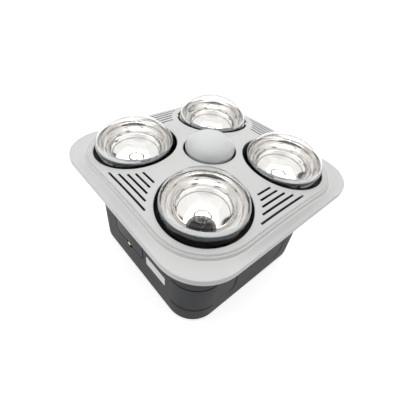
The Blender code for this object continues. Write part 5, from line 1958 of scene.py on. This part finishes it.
@dataclass
class Studio:
    """The pale floor, the soft light and the camera at the photograph's angle."""

    azimuth: float = 44.3
    elevation: float = 43.0
    roll: float = 7.2
    target: Triple = (0.0833, -0.0927, 0.217)
    distance: float = 0.3698
    lens: float = 25.83
    sensor: float = 36.0
    nearest: float = 0.01
    room_light: float = 0.30
    room_glow: float = 1.15
    floor_glow: float = 0.74
    floor_radius: float = 9.0
    floor_drop: float = 0.0002
    glow_ends: Point = (0.7, 2.2)
    lamp_aim: Triple = (0.0, 0.0, 0.12)
    dark_lines: tuple[tuple[float, ...], ...] = (
        (0.16, 0.03, 0.05, 0.1), (0.50, 0.015, 0.03, 0.25))
    shades: tuple[tuple[float, ...], ...] = (
        (0.0, 22.0, 14.0, 30.0, 0.75), (-125.0, 33.0, 9.0, 14.0, 0.02),
        (135.0, 33.0, 8.0, 12.0, 0.03), (-75.0, 14.0, 5.0, 8.0, 0.03),
        (82.0, 18.0, 5.0, 8.0, 0.03))

    def toward(self, elevation: float, turn: float = 0.0) -> Vector:
        """The direction at an elevation and a turn from the camera's side, in degrees."""
        a, e = math.radians(self.azimuth + turn), math.radians(elevation)
        return Vector((math.sin(a) * math.cos(e), -math.cos(a) * math.cos(e), math.sin(e)))

    def camera(self) -> None:
        """Puts the camera where the photograph was taken from."""
        roll = math.radians(self.roll)
        back = self.toward(self.elevation)
        right = Vector((0.0, 0.0, 1.0)).cross(back).normalized()
        up = back.cross(right)
        across = right * math.cos(roll) + up * math.sin(roll)
        upward = up * math.cos(roll) - right * math.sin(roll)
        data = bpy.data.cameras.new("camera")
        data.lens = self.lens
        data.sensor_width = self.sensor
        data.clip_start = self.nearest
        camera = linked("camera", data)
        camera.matrix_world = Matrix((across, upward, back)).transposed().to_4x4()
        camera.location = Vector(self.target) + back * self.distance
        bpy.context.scene.camera = camera

    @staticmethod
    def seen(tree: NodeTree) -> NodeSocket:
        """A value that is 1 for what the camera, gloss or glass sees, else 0.

        Args:
            tree: the tree that needs the value.

        Returns:
            The value's socket.
        """
        path = add_node(tree, "ShaderNodeLightPath")
        eye = add_node(tree, "ShaderNodeMath", {"operation": "MAXIMUM"}, {
            0: path.outputs["Is Camera Ray"], 1: path.outputs["Is Transmission Ray"]})
        return add_node(tree, "ShaderNodeMath", {"operation": "MAXIMUM"}, {
            0: eye.outputs[0], 1: path.outputs["Is Glossy Ray"]}).outputs[0]

    def world(self) -> None:
        """Fills the room with plain light, dim where the mirrors show dark, white behind."""
        world = bpy.data.worlds.new("studio")
        bpy.context.scene.world = world
        world.use_nodes = True
        tree = world.node_tree
        place = add_node(tree, "ShaderNodeTexCoord")
        parts = add_node(tree, "ShaderNodeSeparateXYZ", inputs={0: place.outputs["Generated"]})
        light: NodeSocket | float = self.room_glow
        for height, core, edge, shade in self.dark_lines:
            above = add_node(tree, "ShaderNodeMath", {"operation": "SUBTRACT"}, {
                0: parts.outputs["Z"], 1: height})
            off = add_node(tree, "ShaderNodeMath", {"operation": "ABSOLUTE"}, {
                0: above.outputs[0]})
            line = add_node(tree, "ShaderNodeMapRange", inputs={
                0: off.outputs[0], 1: core, 2: edge, 3: shade, 4: 1.0})
            light = add_node(tree, "ShaderNodeMath", {"operation": "MULTIPLY"}, {
                0: light, 1: line.outputs[0]}).outputs[0]
        for turn, elevation, core, edge, shade in self.shades:
            facing = add_node(tree, "ShaderNodeVectorMath", {"operation": "DOT_PRODUCT"}, {
                0: place.outputs["Generated"], 1: self.toward(elevation, turn)})
            shaded = add_node(tree, "ShaderNodeMapRange", inputs={
                0: facing.outputs["Value"], 1: math.cos(math.radians(edge)),
                2: math.cos(math.radians(core)), 3: 1.0, 4: shade})
            light = add_node(tree, "ShaderNodeMath", {"operation": "MULTIPLY"}, {
                0: light, 1: shaded.outputs[0]}).outputs[0]
        path = add_node(tree, "ShaderNodeLightPath")
        shine = add_node(tree, "ShaderNodeMath", {"operation": "LESS_THAN"}, {
            0: path.outputs["Glossy Depth"], 1: 0.5})
        light = add_node(tree, "ShaderNodeMath", {"operation": "MAXIMUM"}, {
            0: light, 1: shine.outputs[0]}).outputs[0]
        strength = add_node(tree, "ShaderNodeMapRange", inputs={
            0: self.seen(tree), 3: self.room_light, 4: 1.0})
        total = add_node(tree, "ShaderNodeMath", {"operation": "MULTIPLY"}, {
            0: strength.outputs[0], 1: light})
        feed(tree, tree.nodes["Background"], {"Strength": total.outputs[0], "Color": (1.0,) * 4})

    def lamp(self, name: str, place: Triple, size: float, power: float,
             through: bool = True) -> None:
        """Adds a square soft box that faces the object, seen through glass or not.

        Args:
            name: the lamp's name.
            place: where it stands.
            size: its side.
            power: its power in watts.
            through: whether glass shows it.
        """
        data = bpy.data.lights.new(name, "AREA")
        data.size = size
        data.energy = power
        lamp = linked(name, data)
        lamp.location = place
        lamp.rotation_mode = "QUATERNION"
        aim = Vector(self.lamp_aim) - Vector(place)
        lamp.rotation_quaternion = aim.to_track_quat("-Z", "Y")
        lamp.visible_glossy = False
        lamp.visible_transmission = through

    def floor(self) -> None:
        """Lays a pale paper floor that takes the object's shadow and glows further out."""
        material, tree, shader = new_material("paper_floor")
        place = add_node(tree, "ShaderNodeTexCoord")
        cloud = add_node(tree, "ShaderNodeTexNoise", inputs={
            "Vector": place.outputs["Object"], "Scale": 2.0})
        shade = add_node(tree, "ShaderNodeMix", {"data_type": "RGBA"}, {
            0: cloud.outputs[0], 6: linear("E6E6E6"), 7: linear("E2E2E2")})
        away = add_node(tree, "ShaderNodeVectorMath", {"operation": "LENGTH"}, {
            0: place.outputs["Object"]})
        near, far = self.glow_ends
        rise = add_node(tree, "ShaderNodeMapRange", inputs={
            0: away.outputs["Value"], 1: near, 2: far, 3: self.floor_glow, 4: 1.0})
        glow = add_node(tree, "ShaderNodeMath", {"operation": "MULTIPLY"}, {
            0: self.seen(tree), 1: rise.outputs[0]})
        feed(tree, shader, {
            "Base Color": shade.outputs[2], "Emission Strength": glow.outputs[0],
            "Emission Color": (1.0,) * 4, "Roughness": 0.9})
        bm = bmesh.new()
        bmesh.ops.create_circle(bm, cap_ends=True, segments=64, radius=self.floor_radius)
        floor = as_object("floor", moved(bm, Matrix.Translation((0.0, 0.0, -self.floor_drop))))
        floor.data.materials.append(material)

    def build(self) -> None:
        """Builds the floor, the light and the camera."""
        bpy.context.scene.view_settings.view_transform = "Standard"
        self.floor()
        self.world()
        self.lamp("overhead", (-0.4, 0.5, 2.6), 3.0, 51.0)
        self.lamp("left_side", (-1.5, -2.3, 0.8), 1.4, 13.0, False)
        self.camera()


def main() -> None:
    """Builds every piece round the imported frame."""
    logging.basicConfig(level=logging.INFO, format="%(name)s: %(message)s")
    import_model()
    housing = Housing()
    for assembly in (Studio(), Fascia(), housing, HeatLamps(), CentreLight(), HeatShield(),
                     LightCup(), SheetParts(), Blower(), Duct(), Terminals(housing)):
        assembly.build()


if __name__ == "__main__":
    main()
